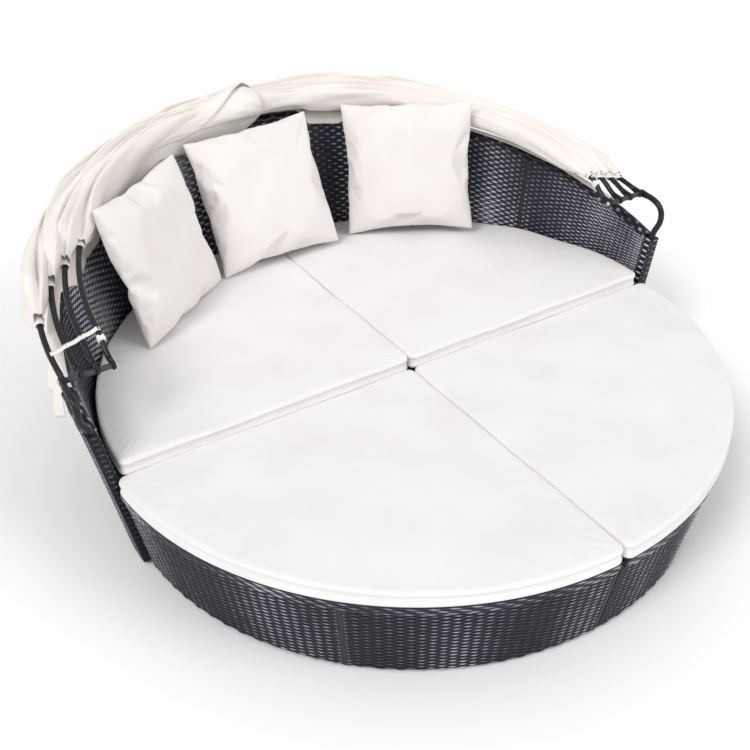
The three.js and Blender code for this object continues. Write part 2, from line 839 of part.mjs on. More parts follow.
// The section from the flat underside to the crown, as insets from the side and heights.
function cushionLevels() {
  const body = cushionThickness - cushionCrown;
  const sides = cushionInsetShares.map((share, i) => {
    return { inset: share * cushionEdgeRoll, height: cushionHeightShares[i] * body };
  });
  const waist = { inset: cushionPull, height: cushionWaistShare * body };
  const crown = crownShares.map((share) => {
    const rise = cushionCrown * (1 - (1 - share) ** 2);
    return { inset: lerp(cushionEdgeRoll, crownInset, share), height: body + rise };
  });
  return [...sides, waist, ...crown].sort((a, b) => a.height - b.height);
}

function wedgeCushion(radius, base) {
  const rings = cushionLevels().map(({ inset, height }) => {
    const drawn = cushionCornerRadius - cornerRoundingShare * inset;
    const round = Math.max(drawn, leastCornerShare * cushionCornerRadius);
    const outline = wedgeOutline(radius, cushionGap + inset, round);
    return outline.map((point) => new THREE.Vector3(point.x, point.y, base + fitGap + height));
  });
  return loft(rings);
}

// Height of the sofa cushions' top surface over the seat, for what rests on it.
function sofaCushionHeight(x, y) {
  const levels = cushionLevels().slice(cushionInsetShares.length);
  const inset = Math.min(Math.abs(x), Math.abs(y), sofaCushionRadius - Math.hypot(x, y)) - cushionGap;
  const next = levels.findIndex((level) => level.inset > inset);
  if (next < 0) return sofaDeckHeight + fitGap + levels.at(-1).height;
  if (next === 0) return sofaDeckHeight + fitGap + levels[0].height;
  const [low, high] = [levels[next - 1], levels[next]];
  const share = (inset - low.inset) / (high.inset - low.inset);
  return sofaDeckHeight + fitGap + lerp(low.height, high.height, share);
}

// Throw pillows: two crowned sheets that meet in a thin sewn edge, drawn in between pointed corners
function pillowPoint(i, j, facing) {
  const half = pillowWidth / 2;
  const u = Math.sin((Math.PI / 2) * ((2 * i) / pillowCellCount - 1));
  const v = Math.sin((Math.PI / 2) * ((2 * j) / pillowCellCount - 1));
  const x = u * (half - pillowDrawIn * (1 - v ** 2) * Math.abs(u));
  const z = v * (half - pillowDrawIn * (1 - u ** 2) * Math.abs(v));
  const swell = ((1 - u ** 2) * (1 - v ** 2)) ** pillowSwellShare;
  return [x, facing * (pillowEdge / 2 + (pillowThickness / 2) * swell), z];
}

function pillowForm() {
  const row = pillowCellCount + 1;
  const other = row * row;
  const points = [];
  [-1, 1].forEach((facing) => {
    for (let j = 0; j < row; j += 1) {
      for (let i = 0; i < row; i += 1) points.push(...pillowPoint(i, j, facing));
    }
  });
  const index = [];
  for (let j = 0; j < pillowCellCount; j += 1) {
    for (let i = 0; i < pillowCellCount; i += 1) {
      const a = j * row + i;
      const b = other + a;
      index.push(a, a + 1, a + row + 1, a, a + row + 1, a + row);
      index.push(b, b + row + 1, b + 1, b, b + row, b + row + 1);
    }
  }
  const border = [];
  for (let i = 0; i < pillowCellCount; i += 1) border.push(i);
  for (let j = 0; j < pillowCellCount; j += 1) border.push(j * row + pillowCellCount);
  for (let i = pillowCellCount; i > 0; i -= 1) border.push(pillowCellCount * row + i);
  for (let j = pillowCellCount; j > 0; j -= 1) border.push(j * row);
  border.forEach((a, k) => {
    const b = border[(k + 1) % border.length];
    index.push(a, other + a, other + b, a, other + b, b);
  });
  const geometry = new THREE.BufferGeometry();
  geometry.setAttribute("position", new THREE.Float32BufferAttribute(points, 3));
  geometry.setIndex(index);
  return facingOut(geometry);
}

// Leans a pillow on the backrest: it moves out until it meets the wall, and down until it meets the seat.
function throwPillow({ bearing, facing, lean, roll }) {
  const geometry = pillowForm();
  geometry.rotateY(degToRad(roll)).rotateX(-degToRad(lean)).rotateZ(degToRad(facing) - Math.PI / 2);
  geometry.translate(0, 0, sofaDeckHeight + cushionThickness + pillowWidth / 2);
  const outward = polar(1, degToRad(bearing), 0);
  for (let pass = 0; pass < 3; pass += 1) {
    const room = smallest(geometry, pillowRoom);
    geometry.translate(outward.x * room, outward.y * room, 0);
    const drop = smallest(geometry, (point) => point.z - sofaCushionHeight(point.x, point.y)) - fitGap;
    geometry.translate(0, 0, -drop);
  }
  return geometry;
}

function smallest(geometry, measure) {
  const place = geometry.attributes.position;
  const point = new THREE.Vector3();
  let least = Infinity;
  for (let i = 0; i < place.count; i += 1) {
    least = Math.min(least, measure(point.fromBufferAttribute(place, i)));
  }
  return least;
}

// How far a point of a pillow may still move outwards, before it meets the wall or the folded front bow.
function pillowRoom(point) {
  const flap = shellInnerRadius(point.z) - rimOverhang - clothThickness - 2 * fitGap;
  const wallRoom = flap - Math.hypot(point.x, point.y);
  const bowZone = bowPlanePoint(0, point.y - pinY, frontOrder * bowLift).z - pillowHeadroom;
  if (point.z < bowZone) return wallRoom;
  const bowPoints = frontBowPoints.map((place) => Math.hypot(place.x - point.x, place.y - point.y));
  return Math.min(wallRoom, Math.min(...bowPoints) - bowSpacing / 2 - pillowStandoff);
}

// The cloth's rear edge is draped over the rim: a short flap inside and a longer tail outside.
function rimDrape() {
  const rings = [];
  for (let k = drapeSkipSteps; k <= halfTurnSteps - drapeSkipSteps; k += 1) {
    const share = k / halfTurnSteps;
    const section = drapeSection(share * Math.PI, share);
    rings.push(section.map(([radius, height]) => {
      return polar(radius, wallBearing(share, radius, sofaEdge, Math.PI), height);
    }));
  }
  return loft(rings);
}

function drapeSection(bearing, share) {
  const over = rimOutline(fitGap, bearing);
  const under = rimOutline(fitGap + clothThickness, bearing);
  const rimFoot = rimHeight(bearing) - rimDepth;
  const drop = tailDrop * shareTable(tailDropShares, share);
  const quick = tailWaveShares[0] * Math.cos(fullTurn * tailFoldCount * (share - 0.5));
  const slow = tailWaveShares[1] * Math.cos(fullTurn * slowFoldCount * (share - 0.5));
  const wave = tailWave * (1 + quick + slow);
  const hemHeight = rimFoot - drop;
  const hemRadius = shellOuterRadius(rimFoot) + columnRelief + fitGap;
  const flapHeight = rimFoot - innerFlapDrop;
  const flapRadius = shellInnerRadius(flapHeight) - columnRelief - fitGap;
  return [
    [hemRadius + wave, hemHeight],
    ...over,
    [flapRadius, flapHeight],
    [flapRadius - clothThickness, flapHeight],
    ...under.reverse(),
    [hemRadius + wave + clothThickness, hemHeight],
  ];
}

// Each bow's panel, folded: a pocket round the bow, with standing folds above it.
function planDistance(curve, point) {
  let least = Infinity;
  for (let i = 0; i <= bowSampleCount; i += 1) {
    const away = curve.getPoint(i / bowSampleCount).sub(point);
    least = Math.min(least, away.addScaledVector(riseDirection, -away.dot(riseDirection)).length());
  }
  return least;
}

function foldedPanel(order) {
  const curve = bowCurves[order];
  const neighbours = bowCurves.filter((other, i) => Math.abs(i - order) === 1);
  const rings = [];
  const first = rightPanelSkipSteps;
  const last = bowSteps - leftPanelSkipSteps;
  for (let k = first; k <= last; k += 1) {
    const along = k / bowSteps;
    const share = (k - first) / (last - first);
    const centre = curve.getPointAt(along);
    const tangent = curve.getTangentAt(along);
    const across = tangent.clone().cross(riseDirection).normalize();
    const room = Math.min(...neighbours.map((other) => planDistance(other, centre)));
    const halfWidth = Math.min(room / 2, room - sleeveRadius, bowSpacing / 2) - pleatGap;
    const height = bunchHeight * shareTable(bunchHeightShares, share) * pleatHeightShares[order];
    const lean = pleatLean * Math.sin(fullTurn * (leanFoldCount * share + leanPhaseShare * order));
    const placed = ([a, b]) => centre.clone().addScaledVector(across, a).addScaledVector(riseDirection, b);
    rings.push(pleatOutline(halfWidth, height, lean).map(placed));
  }
  return loft(rings);
}

// The section of a folded panel: the standing folds, the pocket's outside and its bore, open in a slit below.
function pleatOutline(halfWidth, height, lean) {
  const sway = Math.min(lean, swayLimitShare * halfWidth);
  const waist = Math.min(halfWidth, sleeveRadius);
  const half = [
    [sleeveSlit / 2, -sleeveRadius],
    ...pocketOutlineShares.map(([across, up]) => [across * sleeveRadius, up * sleeveRadius]),
    [waist, waistShare * sleeveRadius],
    [halfWidth, shoulderShare * sleeveRadius],
  ];
  const folds = foldOutlineShares.map(([across, up], i) => {
    return [across * halfWidth + foldSwayShares[i] * sway, up * height];
  });
  const otherHalf = half.map(([across, up]) => [-across, up]).reverse();
  const slitTurn = Math.asin(sleeveSlit / 2 / pocketRadius);
  const bore = Array.from({ length: pocketSides + 1 }, (unused, i) => {
    const turn = lerp(1.5 * Math.PI - slitTurn, slitTurn - 0.5 * Math.PI, i / pocketSides);
    return [pocketRadius * Math.cos(turn), pocketRadius * Math.sin(turn)];
  });
  return [...half, ...folds, ...otherHalf, ...bore];
}

// Finishes
function finish(color, roughness, metalness) {
  return new THREE.MeshStandardMaterial({ color, roughness, metalness, flatShading: true });
}

const finishes = {
  wicker: finish(0x1d1b22, 0.45, 0),
  steel: finish(0x2b2c2e, 0.4, 0.6),
  bolt: finish(0xb9bcc0, 0.35, 0.9),
  cushion: finish(0xe9e4e0, 0.9, 0),
  pillow: finish(0xefe6df, 0.9, 0),
  canopy: finish(0xeee8da, 0.9, 0),
  rubber: finish(0x161616, 0.8, 0),
};

const daybed = new THREE.Group();

function add(name, geometry, material) {
  const bare = geometry.index ? geometry : mergeVertices(geometry);
  const mesh = new THREE.Mesh(bare, material.clone());
  mesh.name = name;
  daybed.add(mesh);
  return mesh;
}

// Sofa
add("sofa_outer_weave", sofaOuterWeave(), finishes.wicker);
add("backrest_inner_weave", backrestInnerWeave(), finishes.wicker);
add("backrest_rim", backrestRim(), finishes.wicker);
add("sofa_front_weave", sofaFrontWeave(), finishes.wicker);
add("sofa_frame", sofaFrame(), finishes.steel);
add("sofa_deck", sofaDeck(), finishes.wicker);
const footBearings = [0, ...uprightShares.map(uprightBearing), Math.PI];
const railMiddle = cavityRadius(skirtClearance) - frameTube / 2;
footBearings.forEach((bearing, i) => {
  const centre = polar(railMiddle, bearing, 0);
  if (centre.y < sofaEdge) centre.y = sofaEdge + frameTube / 2;
  add(`sofa_foot_${i + 1}`, welded(foot(centre)), finishes.rubber);
});

// Canopy
const sides = [{ word: "left", side: -1 }, { word: "right", side: 1 }];
sides.forEach(({ word, side }) => {
  add(`arm_end_wrap_${word}`, armEndWrap(side), finishes.wicker);
  add(`canopy_post_${word}`, canopyPost(side), finishes.steel);
  const hardware = (name, geometry, material) => {
    const turned = side < 0 ? geometry.rotateZ(Math.PI) : geometry;
    add(`${name}_${word}`, welded(turned.translate(0, pinY, pinHeight)), material);
  };
  hardware("pivot_bolt", pivotBolt(), finishes.bolt);
  hardware("pivot_nut", domeNut(), finishes.bolt);
  for (let order = 0; order < frontOrder; order += 1) {
    hardware(`pivot_spacer_${order + 1}`, spacer(order), finishes.steel);
  }
});
bowPlans.forEach(({ name }, order) => {
  add(`canopy_${name}_bow`, canopyBow(order), finishes.steel);
  add(`canopy_${name}_panel`, foldedPanel(order), finishes.canopy);
});
add("canopy_rim_drape", rimDrape(), finishes.canopy);

// Ottomans and cushions
const quarters = [
  { name: "ottoman_left", turn: Math.PI },
  { name: "ottoman_right", turn: 1.5 * Math.PI },
];
quarters.forEach(({ name, turn }) => {
  const place = (piece, geometry, material) => add(`${name}_${piece}`, geometry.rotateZ(turn), material);
  place("skirt", ottomanSkirt(), finishes.wicker);
  place("side_a", ottomanSideAlongX(), finishes.wicker);
  place("side_b", ottomanSideAlongY(), finishes.wicker);
  place("frame", ottomanFrame(), finishes.steel);
  place("deck", ottomanDeck(), finishes.wicker);
  place("cushion", wedgeCushion(ottomanCushionRadius, ottomanDeckHeight), finishes.cushion);
  const near = ottomanEdge + frameTube / 2;
  const far = ottomanCavityRadius(skirtClearance) - frameTube;
  const footCentres = [[near, near], [far, near], [near, far]];
  footCentres.forEach(([x, y], i) => {
    place(`foot_${i + 1}`, welded(foot(new THREE.Vector2(x, y))), finishes.rubber);
  });
});
add("seat_cushion_right", wedgeCushion(sofaCushionRadius, sofaDeckHeight), finishes.cushion);
const leftSeat = wedgeCushion(sofaCushionRadius, sofaDeckHeight).rotateZ(Math.PI / 2);
add("seat_cushion_left", leftSeat, finishes.cushion);
pillowPlaces.forEach((place) => add(place.name, throwPillow(place), finishes.pillow));

// The origin is on the floor under the middle of the whole bed.
const span = new THREE.Box3().setFromObject(daybed);
daybed.position.set(0, -(span.min.y + span.max.y) / 2, -span.min.z);

export default daybed;
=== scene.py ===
import math

import bpy
import numpy as np
from mathutils import Matrix, Vector


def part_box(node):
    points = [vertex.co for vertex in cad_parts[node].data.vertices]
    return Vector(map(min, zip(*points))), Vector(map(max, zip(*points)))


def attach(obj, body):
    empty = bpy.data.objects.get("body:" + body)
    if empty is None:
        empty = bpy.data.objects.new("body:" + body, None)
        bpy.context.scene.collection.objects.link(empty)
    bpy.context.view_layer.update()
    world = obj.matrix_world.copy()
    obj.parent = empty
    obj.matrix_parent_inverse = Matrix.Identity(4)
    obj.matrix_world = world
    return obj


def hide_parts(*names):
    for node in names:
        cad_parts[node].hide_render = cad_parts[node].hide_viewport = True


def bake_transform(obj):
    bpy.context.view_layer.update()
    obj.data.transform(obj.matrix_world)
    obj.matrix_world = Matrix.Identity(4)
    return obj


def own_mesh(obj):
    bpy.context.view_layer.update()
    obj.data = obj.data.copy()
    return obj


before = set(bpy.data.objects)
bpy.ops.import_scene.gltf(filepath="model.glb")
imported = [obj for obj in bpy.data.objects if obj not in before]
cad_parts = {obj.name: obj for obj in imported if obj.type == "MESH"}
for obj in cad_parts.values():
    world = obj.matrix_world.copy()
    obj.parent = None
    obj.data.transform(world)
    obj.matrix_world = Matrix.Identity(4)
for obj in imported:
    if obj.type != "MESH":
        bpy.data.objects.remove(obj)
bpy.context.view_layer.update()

# Everything is in metres. The bed's own centre lies at x = 0 and y = bed_y.
MM = 0.001

# Driving sizes of the bed
base_radius = 842 * MM
flare = math.tan(math.radians(11.6))
sofa_step = 20 * MM
shell_thickness = 30 * MM
seat_edge = 2 * MM
end_post_depth = 34 * MM
end_post_gap = 0.3 * MM
sofa_edge = seat_edge + end_post_depth + end_post_gap
ottoman_edge = 7.3 * MM
rim_depth = 17 * MM
rim_half_width = 18.5 * MM
rim_overlap = 17.3 * MM
band_height = 30 * MM
band_relief = 3 * MM

# Heights and places that the frame gives
bed_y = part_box("sofa_front_weave")[0].y - seat_edge
skirt_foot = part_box("ottoman_left_skirt")[0].z
ottoman_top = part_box("ottoman_left_deck")[1].z
sofa_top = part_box("sofa_deck")[1].z
arm_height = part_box("arm_end_wrap_left")[1].z
back_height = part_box("backrest_rim")[1].z

# Weave: strands run level and pass over and under upright stakes
stake_pitch = 27.5 * MM
inner_stake_pitch = 20 * MM
skirt_strand = 6.9 * MM
side_strand = 1.5 * skirt_strand
wall_strand = 9.4 * MM
outer_rise = 620 * MM
inner_rise = 340 * MM
strand_lift = 2.3 * MM
strand_body = 0.7 * MM
stake_level = 0.1 * MM
groove_level = -0.6 * MM
groove_share = 0.01
row_shares = (0, 0.3, 0.7)
# Painted highlight across each strand, from its groove up: most on its upper half, as if lit from above
row_highlight_shares = (0, 0.62, 1)
lift_spread_shares = (0.86, 1.14)
crest_power = 0.6
weave_base = 0.3 * MM
inner_base = 1.5 * MM
# Painted light on the backrest's inner wall: its least and most highlight, which paints the whole wall
# lighter
inner_light_shares = (0.5, 1)
side_base = 0.2 * MM
side_lift = 0.9 * MM
panel_margin = 2 * MM
panel_start = 7 * MM
bar_width = 9 * MM
bar_lift = 1.1 * MM
bar_steps = 4
bar_roundness = 0.5
column_bars = 2
column_shares = [1 / 6, 2 / 6, 3 / 6, 4 / 6, 5 / 6]

# Twisted strands of the ottomans' top band
rope_rows = 3
rope_twist_length = 52 * MM
rope_steps = 10
rope_row_shares = (0, 0.12, 0.35, 0.65, 0.88)
rope_height = 3.4 * MM
rope_base = 0.4 * MM
rope_sink = 1 * MM
rope_twist_share = 0.28
rope_lean_share = 0.5
rope_offset_share = 0.45

# Wraps of the backrest's rim and of its two ends
rim_strands = 5
rim_steps = 3
rim_base = 1.0 * MM
wrap_lift = 0.9 * MM
rim_level_share = 0.3
rim_groove_share = -0.6
# Painted highlight on the crests of the rim's strands
rim_highlight_share = 0.8
arm_points = 64
arm_stakes = 16
arm_squareness = 0.2
arm_base = 0.4 * MM
arm_face_share = 0.9
# Painted highlight on the arm ends' crests: a full share on the sides, less on the front face, which is
# painted in shade
arm_side_highlight_share = 0.9
arm_shaded_front_share = 0.6

# Canopy mechanism
pin_low, pin_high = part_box("pivot_bolt_left")
pin_y = (pin_low.y + pin_high.y) / 2
pin_z = (pin_low.z + pin_high.z) / 2
pin_point = np.array([0, pin_y, pin_z])
bolt_radius = 4 * MM
bolt_head_radius = 8 * MM
bolt_head_depth = 5 * MM
bolt_chamfer = 0.8 * MM
dome_tip = 0.2 * MM
dome_turns = [k / 6 * math.pi / 2 for k in range(1, 6)]
nut_radius = 7.5 * MM
nut_dome_share = 0.9
nut_dome_depth_share = 0.55
nut_flat_share = 0.6
spacer_radius = 8 * MM
spacer_rounding = 1.2 * MM
post_radius = 9.5 * MM
post_sides = 16
post_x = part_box("canopy_post_right")[1].x - post_radius
post_lean = 5 * MM
post_bend_height = 48 * MM
post_bend_depth = 68 * MM
lug_thickness = 8 * MM
lug_radius = 12 * MM
lug_reach = 38 * MM
lug_edge = 0.8 * MM
bow_radius = 8 * MM
bow_count = 161
bow_sides = 14
bow_spacing = 43 * MM
bow_lift = 12 * MM
bow_setback = 22 * MM
crank_length = 105 * MM
bow_reach = 925 * MM
bow_reach_step = 22 * MM
bow_squareness = [2.02, 2.06, 2.1, 2.14]
bow_names = ["canopy_rear_bow", "canopy_low_bow", "canopy_middle_bow", "canopy_front_bow"]
bow_bodies = ["sofa", "bow_low", "bow_middle", "bow_front"]
front_bow = 3
rear_bow_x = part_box("canopy_rear_bow")[1].x - bow_radius
rear_bow_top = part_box("canopy_rear_bow")[1].z - bow_radius
bow_tilt = math.asin((rear_bow_top - pin_z) / bow_reach)
depth_direction = np.array([0, math.cos(bow_tilt), math.sin(bow_tilt)])
rise_direction = np.array([0, -math.sin(bow_tilt), math.cos(bow_tilt)])

# Folds of the canopy's cloth. Tables run from the right arm round the back to the left arm.
cloth_thickness = 1.4 * MM
cloth_count = 340
panel_start_shares = [0.03, 0.032, 0.035, 0.038]
panel_stop_shares = [0.93, 0.885, 0.86, 0.835]
fold_nodes = ["canopy_rear_panel", "canopy_low_panel", "canopy_middle_panel", "canopy_front_panel"]
# How high each fold stands, and how far to each side, in millimetres
fold_heights = [
    [36, 44, 72, 112, 88, 100, 100, 94, 84],
    [34, 42, 64, 88, 94, 98, 96, 88, 74],
    [32, 38, 54, 66, 76, 96, 92, 80, 66],
    [30, 34, 40, 46, 60, 84, 78, 66, 54],
]
fold_half_widths = [30, 25, 19, 15, 14, 15, 20, 26, 30]
# The section of each fold, as shares of its half width and height
fold_outline_shares = [
    [(-0.95, 0.0), (-1.15, 0.45), (-0.8, 0.92), (-0.25, 0.84), (0.3, 1.0), (0.95, 0.85), (1.35, 0.4),
     (1.45, -0.1), (1.5, -0.5)],
    [(-1.1, 0.0), (-1.25, 0.5), (-0.75, 0.97), (-0.2, 0.9), (0.25, 0.94), (0.75, 1.0), (1.2, 0.6),
     (1.15, 0.1)],
    [(-1.1, 0.0), (-1.3, 0.5), (-0.8, 1.0), (-0.3, 0.93), (0.2, 0.88), (0.7, 0.96), (1.2, 0.6),
     (1.15, 0.1)],
    [(-1.0, -0.3), (-1.3, 0.05), (-1.4, 0.45), (-1.1, 0.85), (-0.5, 1.0), (0.1, 0.88), (0.6, 0.95),
     (1.15, 0.6), (1.15, 0.1)],
]
fold_steps = 5
fold_wander_share = 0.11
fold_lean_share = 0.14
valley_share = 0.16
fold_slant_rise = 2.4 * MM
fold_slant_shift = 2.0 * MM
fold_end_length = 90 * MM
fold_end_share = 0.42
roof_count = 160
roof_steps = 25
front_hem_shares = [0, 0.3, 0.4, 0.425, 0.45, 0.485, 0.51, 0.54, 0.576, 0.63, 0.67, 0.7, 0.745, 0.8, 1]
# How far the front hem hangs there, in millimetres
front_hem_drops = [6, 6, 12, 4, -24, -20, 46, 74, 48, 16, 46, 60, 34, 12, 6]

# Lengths of the cloth's waves, the longest and the shortest, in metres
outline_waves = (1.3, 0.45)
height_waves = (1.3, 0.4)
lean_waves = (1.6, 0.6)
valley_waves = (1.1, 0.4)
hem_waves = (0.5, 0.12)
sleeve_waves = (0.3, 0.06)

# Sleeves, straps and tabs
sleeve_radius = 11 * MM
sleeve_sides = 12
sleeve_overrun_share = 0.004
strap_share = 0.025
strap_width = 14 * MM
strap_thickness = 1.4 * MM
strap_sag = 4 * MM
strap_overrun_share = 0.12
strap_points = 15
tab_share = 0.017
tab_length = 17 * MM
tab_gap = 2.4 * MM
tab_squareness = 0.45
tab_points = 20
tab_ring_shares = [(-0.5, 0.9), (-0.42, 1), (0.42, 1), (0.5, 0.9)]

# Drape over the rim: a tail outside and a flap inside. The table of drops is in millimetres.
drape_count = 420
drape_start_share = 0.06
drape_stop_share = 0.955
drape_gap = 3.5 * MM
tail_rows = 12
wrap_rows = 13
flap_rows = 6
tail_drop = 92 * MM
tail_wave = 9 * MM
tail_stand_off = 5.5 * MM
tail_plumb_share = 0.205
flap_shares = [0, 0.37, 0.39, 0.425, 0.44, 0.535, 0.56, 0.66, 0.74, 0.8, 0.84, 1]
flap_wrap_shares = [0.66, 0.66, 1, 1, 0.3, 0.3, 1, 1, 1, 1, 0.7, 0.6]
flap_drops = [1, 1, 24, 24, 1, 1, 12, 20, 48, 52, 1, 1]
flap_ripple = 1.2 * MM

# Rolled front of the cloth
roll_count = 130
roll_steps = 96
roll_start = 30 * MM
roll_stop = -440 * MM
roll_height = 58 * MM
roll_depth = 52 * MM
roll_lift = 42 * MM
roll_turns = 2.4
roll_twist = 5.5
roll_core_share = 0.5
roll_place_shares = [0, 0.03, 0.08, 0.2, 0.34, 0.55, 0.8, 1]
roll_body_shares = [0.84, 0.96, 1.05, 1.0, 0.78, 0.58, 0.4, 0.12]

# Seat cushions
cushion_thickness = 52 * MM
cushion_gap = 1 * MM
cushion_corner = 24 * MM
cushion_least_corner = 7 * MM
cushion_corner_share = 0.55
cushion_crown = 4 * MM
cushion_crown_reach = 200 * MM
cushion_crown_shares = (0.04, 0.09, 0.15, 0.22, 0.3, 0.42, 0.6, 0.8, 1.0)
cushion_middle_shares = (0.3, 0.6, 0.85)
cushion_roll = 12 * MM
cushion_pull = 3 * MM
cushion_sag = 2.0 * MM
cushion_puckers = 62
cushion_pucker_depth = 0.7 * MM
sofa_cushion_inset = 8 * MM
ottoman_cushion_overhang = 7.7 * MM
# From the underside up: how far in from the edge, and how high
cushion_foot = [(cushion_roll, 0.0), (5 * MM, 0.5 * MM), (1.6 * MM, 2.5 * MM), (0.5 * MM, 6 * MM),
                (0.2 * MM, 11 * MM), (2.2 * MM, 12.5 * MM)]
# Up to the crown's foot: how far in from the edge, and how far below it
cushion_shoulder = [(2.2 * MM, 14 * MM), (0.2 * MM, 12 * MM), (0.4 * MM, 8 * MM), (1.8 * MM, 3.6 * MM),
                    (4.8 * MM, 1 * MM), (cushion_roll, 0.0)]

# Throw pillows
pillow_width = 440 * MM
pillow_thickness = 128 * MM
pillow_cells = 56
pillow_bow_share = 0.02
pillow_swell_power = 0.42
pillow_flat_share = 0.72
pillow_pressure = 4.0
pillow_frames = 20
pillow_cap = 30 * MM

# Camera, measured on the photograph
image_size = 750
focal_pixels = 1168.7
axis_pixels = (393.0, 363.5)
view_azimuth = math.radians(-33.73)
view_elevation = math.radians(33.98)
view_roll = math.radians(0.25)
view_distance = 3.533
view_target = Vector((0.033, 0.144 + bed_y, 0.25))
sensor_width = 36.0
floor_half = 30.0
sky_strength = 0.68


# Small helpers
def lerp(a, b, share):
    return a + (b - a) * share


def smoothstep(value, low, high):
    share = np.clip((value - low) / (high - low), 0, 1)
    return share * share * (3 - 2 * share)


def table(values, place):
    """A smooth curve through evenly spaced values."""
    spots = np.clip(np.asarray(place, float), 0, 1) * (len(values) - 1)
    first = np.minimum(spots.astype(int), len(values) - 2)
    local = spots - first
    values = np.asarray(values, float)
    return lerp(values[first], values[first + 1], local * local * (3 - 2 * local))


def waves(u, v, seed, count=7, low=1.0, high=6.0):
    """Smooth noise from a few seeded sine waves, about -1 to 1."""
    draws = np.random.default_rng(seed)
    total = np.zeros(np.broadcast(u, v).shape)
    for _ in range(count):
        along = draws.uniform(low, high)
        across = draws.uniform(low, high)
        phase = draws.uniform(0, 2 * math.pi)
        total = total + np.sin(2 * math.pi * (along * u * draws.choice([-1, 1]) + across * v) + phase)
    return total / math.sqrt(count)


def drift(run, seed, longest, shortest):
    """Smooth noise along a length in metres, about -1 to 1."""
    return waves(run, 0 * run, seed, low=1 / longest, high=1 / shortest)


def stack(x, y, z):
    return np.stack(np.broadcast_arrays(x, y, z), axis=-1)


def squared(turns, squareness):
    """Both coordinates of a unit outline, round at 1 and square towards 0."""
    x = np.sign(np.cos(turns)) * np.abs(np.cos(turns)) ** squareness
    y = np.sign(np.sin(turns)) * np.abs(np.sin(turns)) ** squareness
    return x, y


def side_word(side):
    return "right" if side > 0 else "left"


def polar(radius, bearing, height):
    return stack(radius * np.cos(bearing), bed_y + radius * np.sin(bearing), height)


def cone_radius(height):
    return base_radius + flare * height


def shell_outer(height):
    return cone_radius(height) + sofa_step


def shell_inner(height):
    return shell_outer(height) - shell_thickness


def shell_middle(height):
    return shell_outer(height) - shell_thickness / 2


def rim_height(bearing):
    return lerp(arm_height, back_height, np.sin(bearing))


def make_piece(name, points, faces, body, shade, thickness=0.0):
    mesh = bpy.data.meshes.new(name)
    mesh.from_pydata(np.asarray(points, float).reshape(-1, 3).tolist(), [], faces)
    mesh.polygons.foreach_set("use_smooth", [True] * len(mesh.polygons))
    mesh.update()
    piece = bpy.data.objects.new(name, mesh)
    bpy.context.scene.collection.objects.link(piece)
    mesh.materials.append(shade)
    if thickness:
        solid = piece.modifiers.new("thickness", "SOLIDIFY")
        solid.thickness = thickness
        solid.offset = 0.0
    if body:
        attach(piece, body)
    return piece


def grid_faces(rows, columns, closed_columns=False):
    """Quads over a grid of points; closed columns join each row's last point to its first."""
    faces = []
    for i in range(rows - 1):
        below = i * columns
        above = below + columns
        for j in range(columns if closed_columns else columns - 1):
            k = (j + 1) % columns
            faces.append((below + j, below + k, above + k, above + j))
    return faces


def loft_faces(rings, sides):
    faces = grid_faces(rings, sides, closed_columns=True)
    faces.append(tuple(reversed(range(sides))))
    faces.append(tuple(range((rings - 1) * sides, rings * sides)))
    return faces


def tube_points(path, radius, sides):
    """Rings of points round a path, carried along it without twist."""
    path = np.asarray(path, float)
    tangents = np.gradient(path, axis=0)
    tangents /= np.linalg.norm(tangents, axis=1)[:, None]
    normal = np.cross(tangents[0], [0.13, 0.21, 0.97])
    normal /= np.linalg.norm(normal)
    radii = np.broadcast_to(radius, len(path))
    turns = 2 * math.pi * np.arange(sides) / sides
    rings = []
    for point, tangent, size in zip(path, tangents, radii):
        normal = normal - tangent * (normal @ tangent)
        normal /= np.linalg.norm(normal)
        other = np.cross(tangent, normal)
        rings.append(point + size * (np.outer(np.cos(turns), normal) + np.outer(np.sin(turns), other)))
    return np.array(rings)


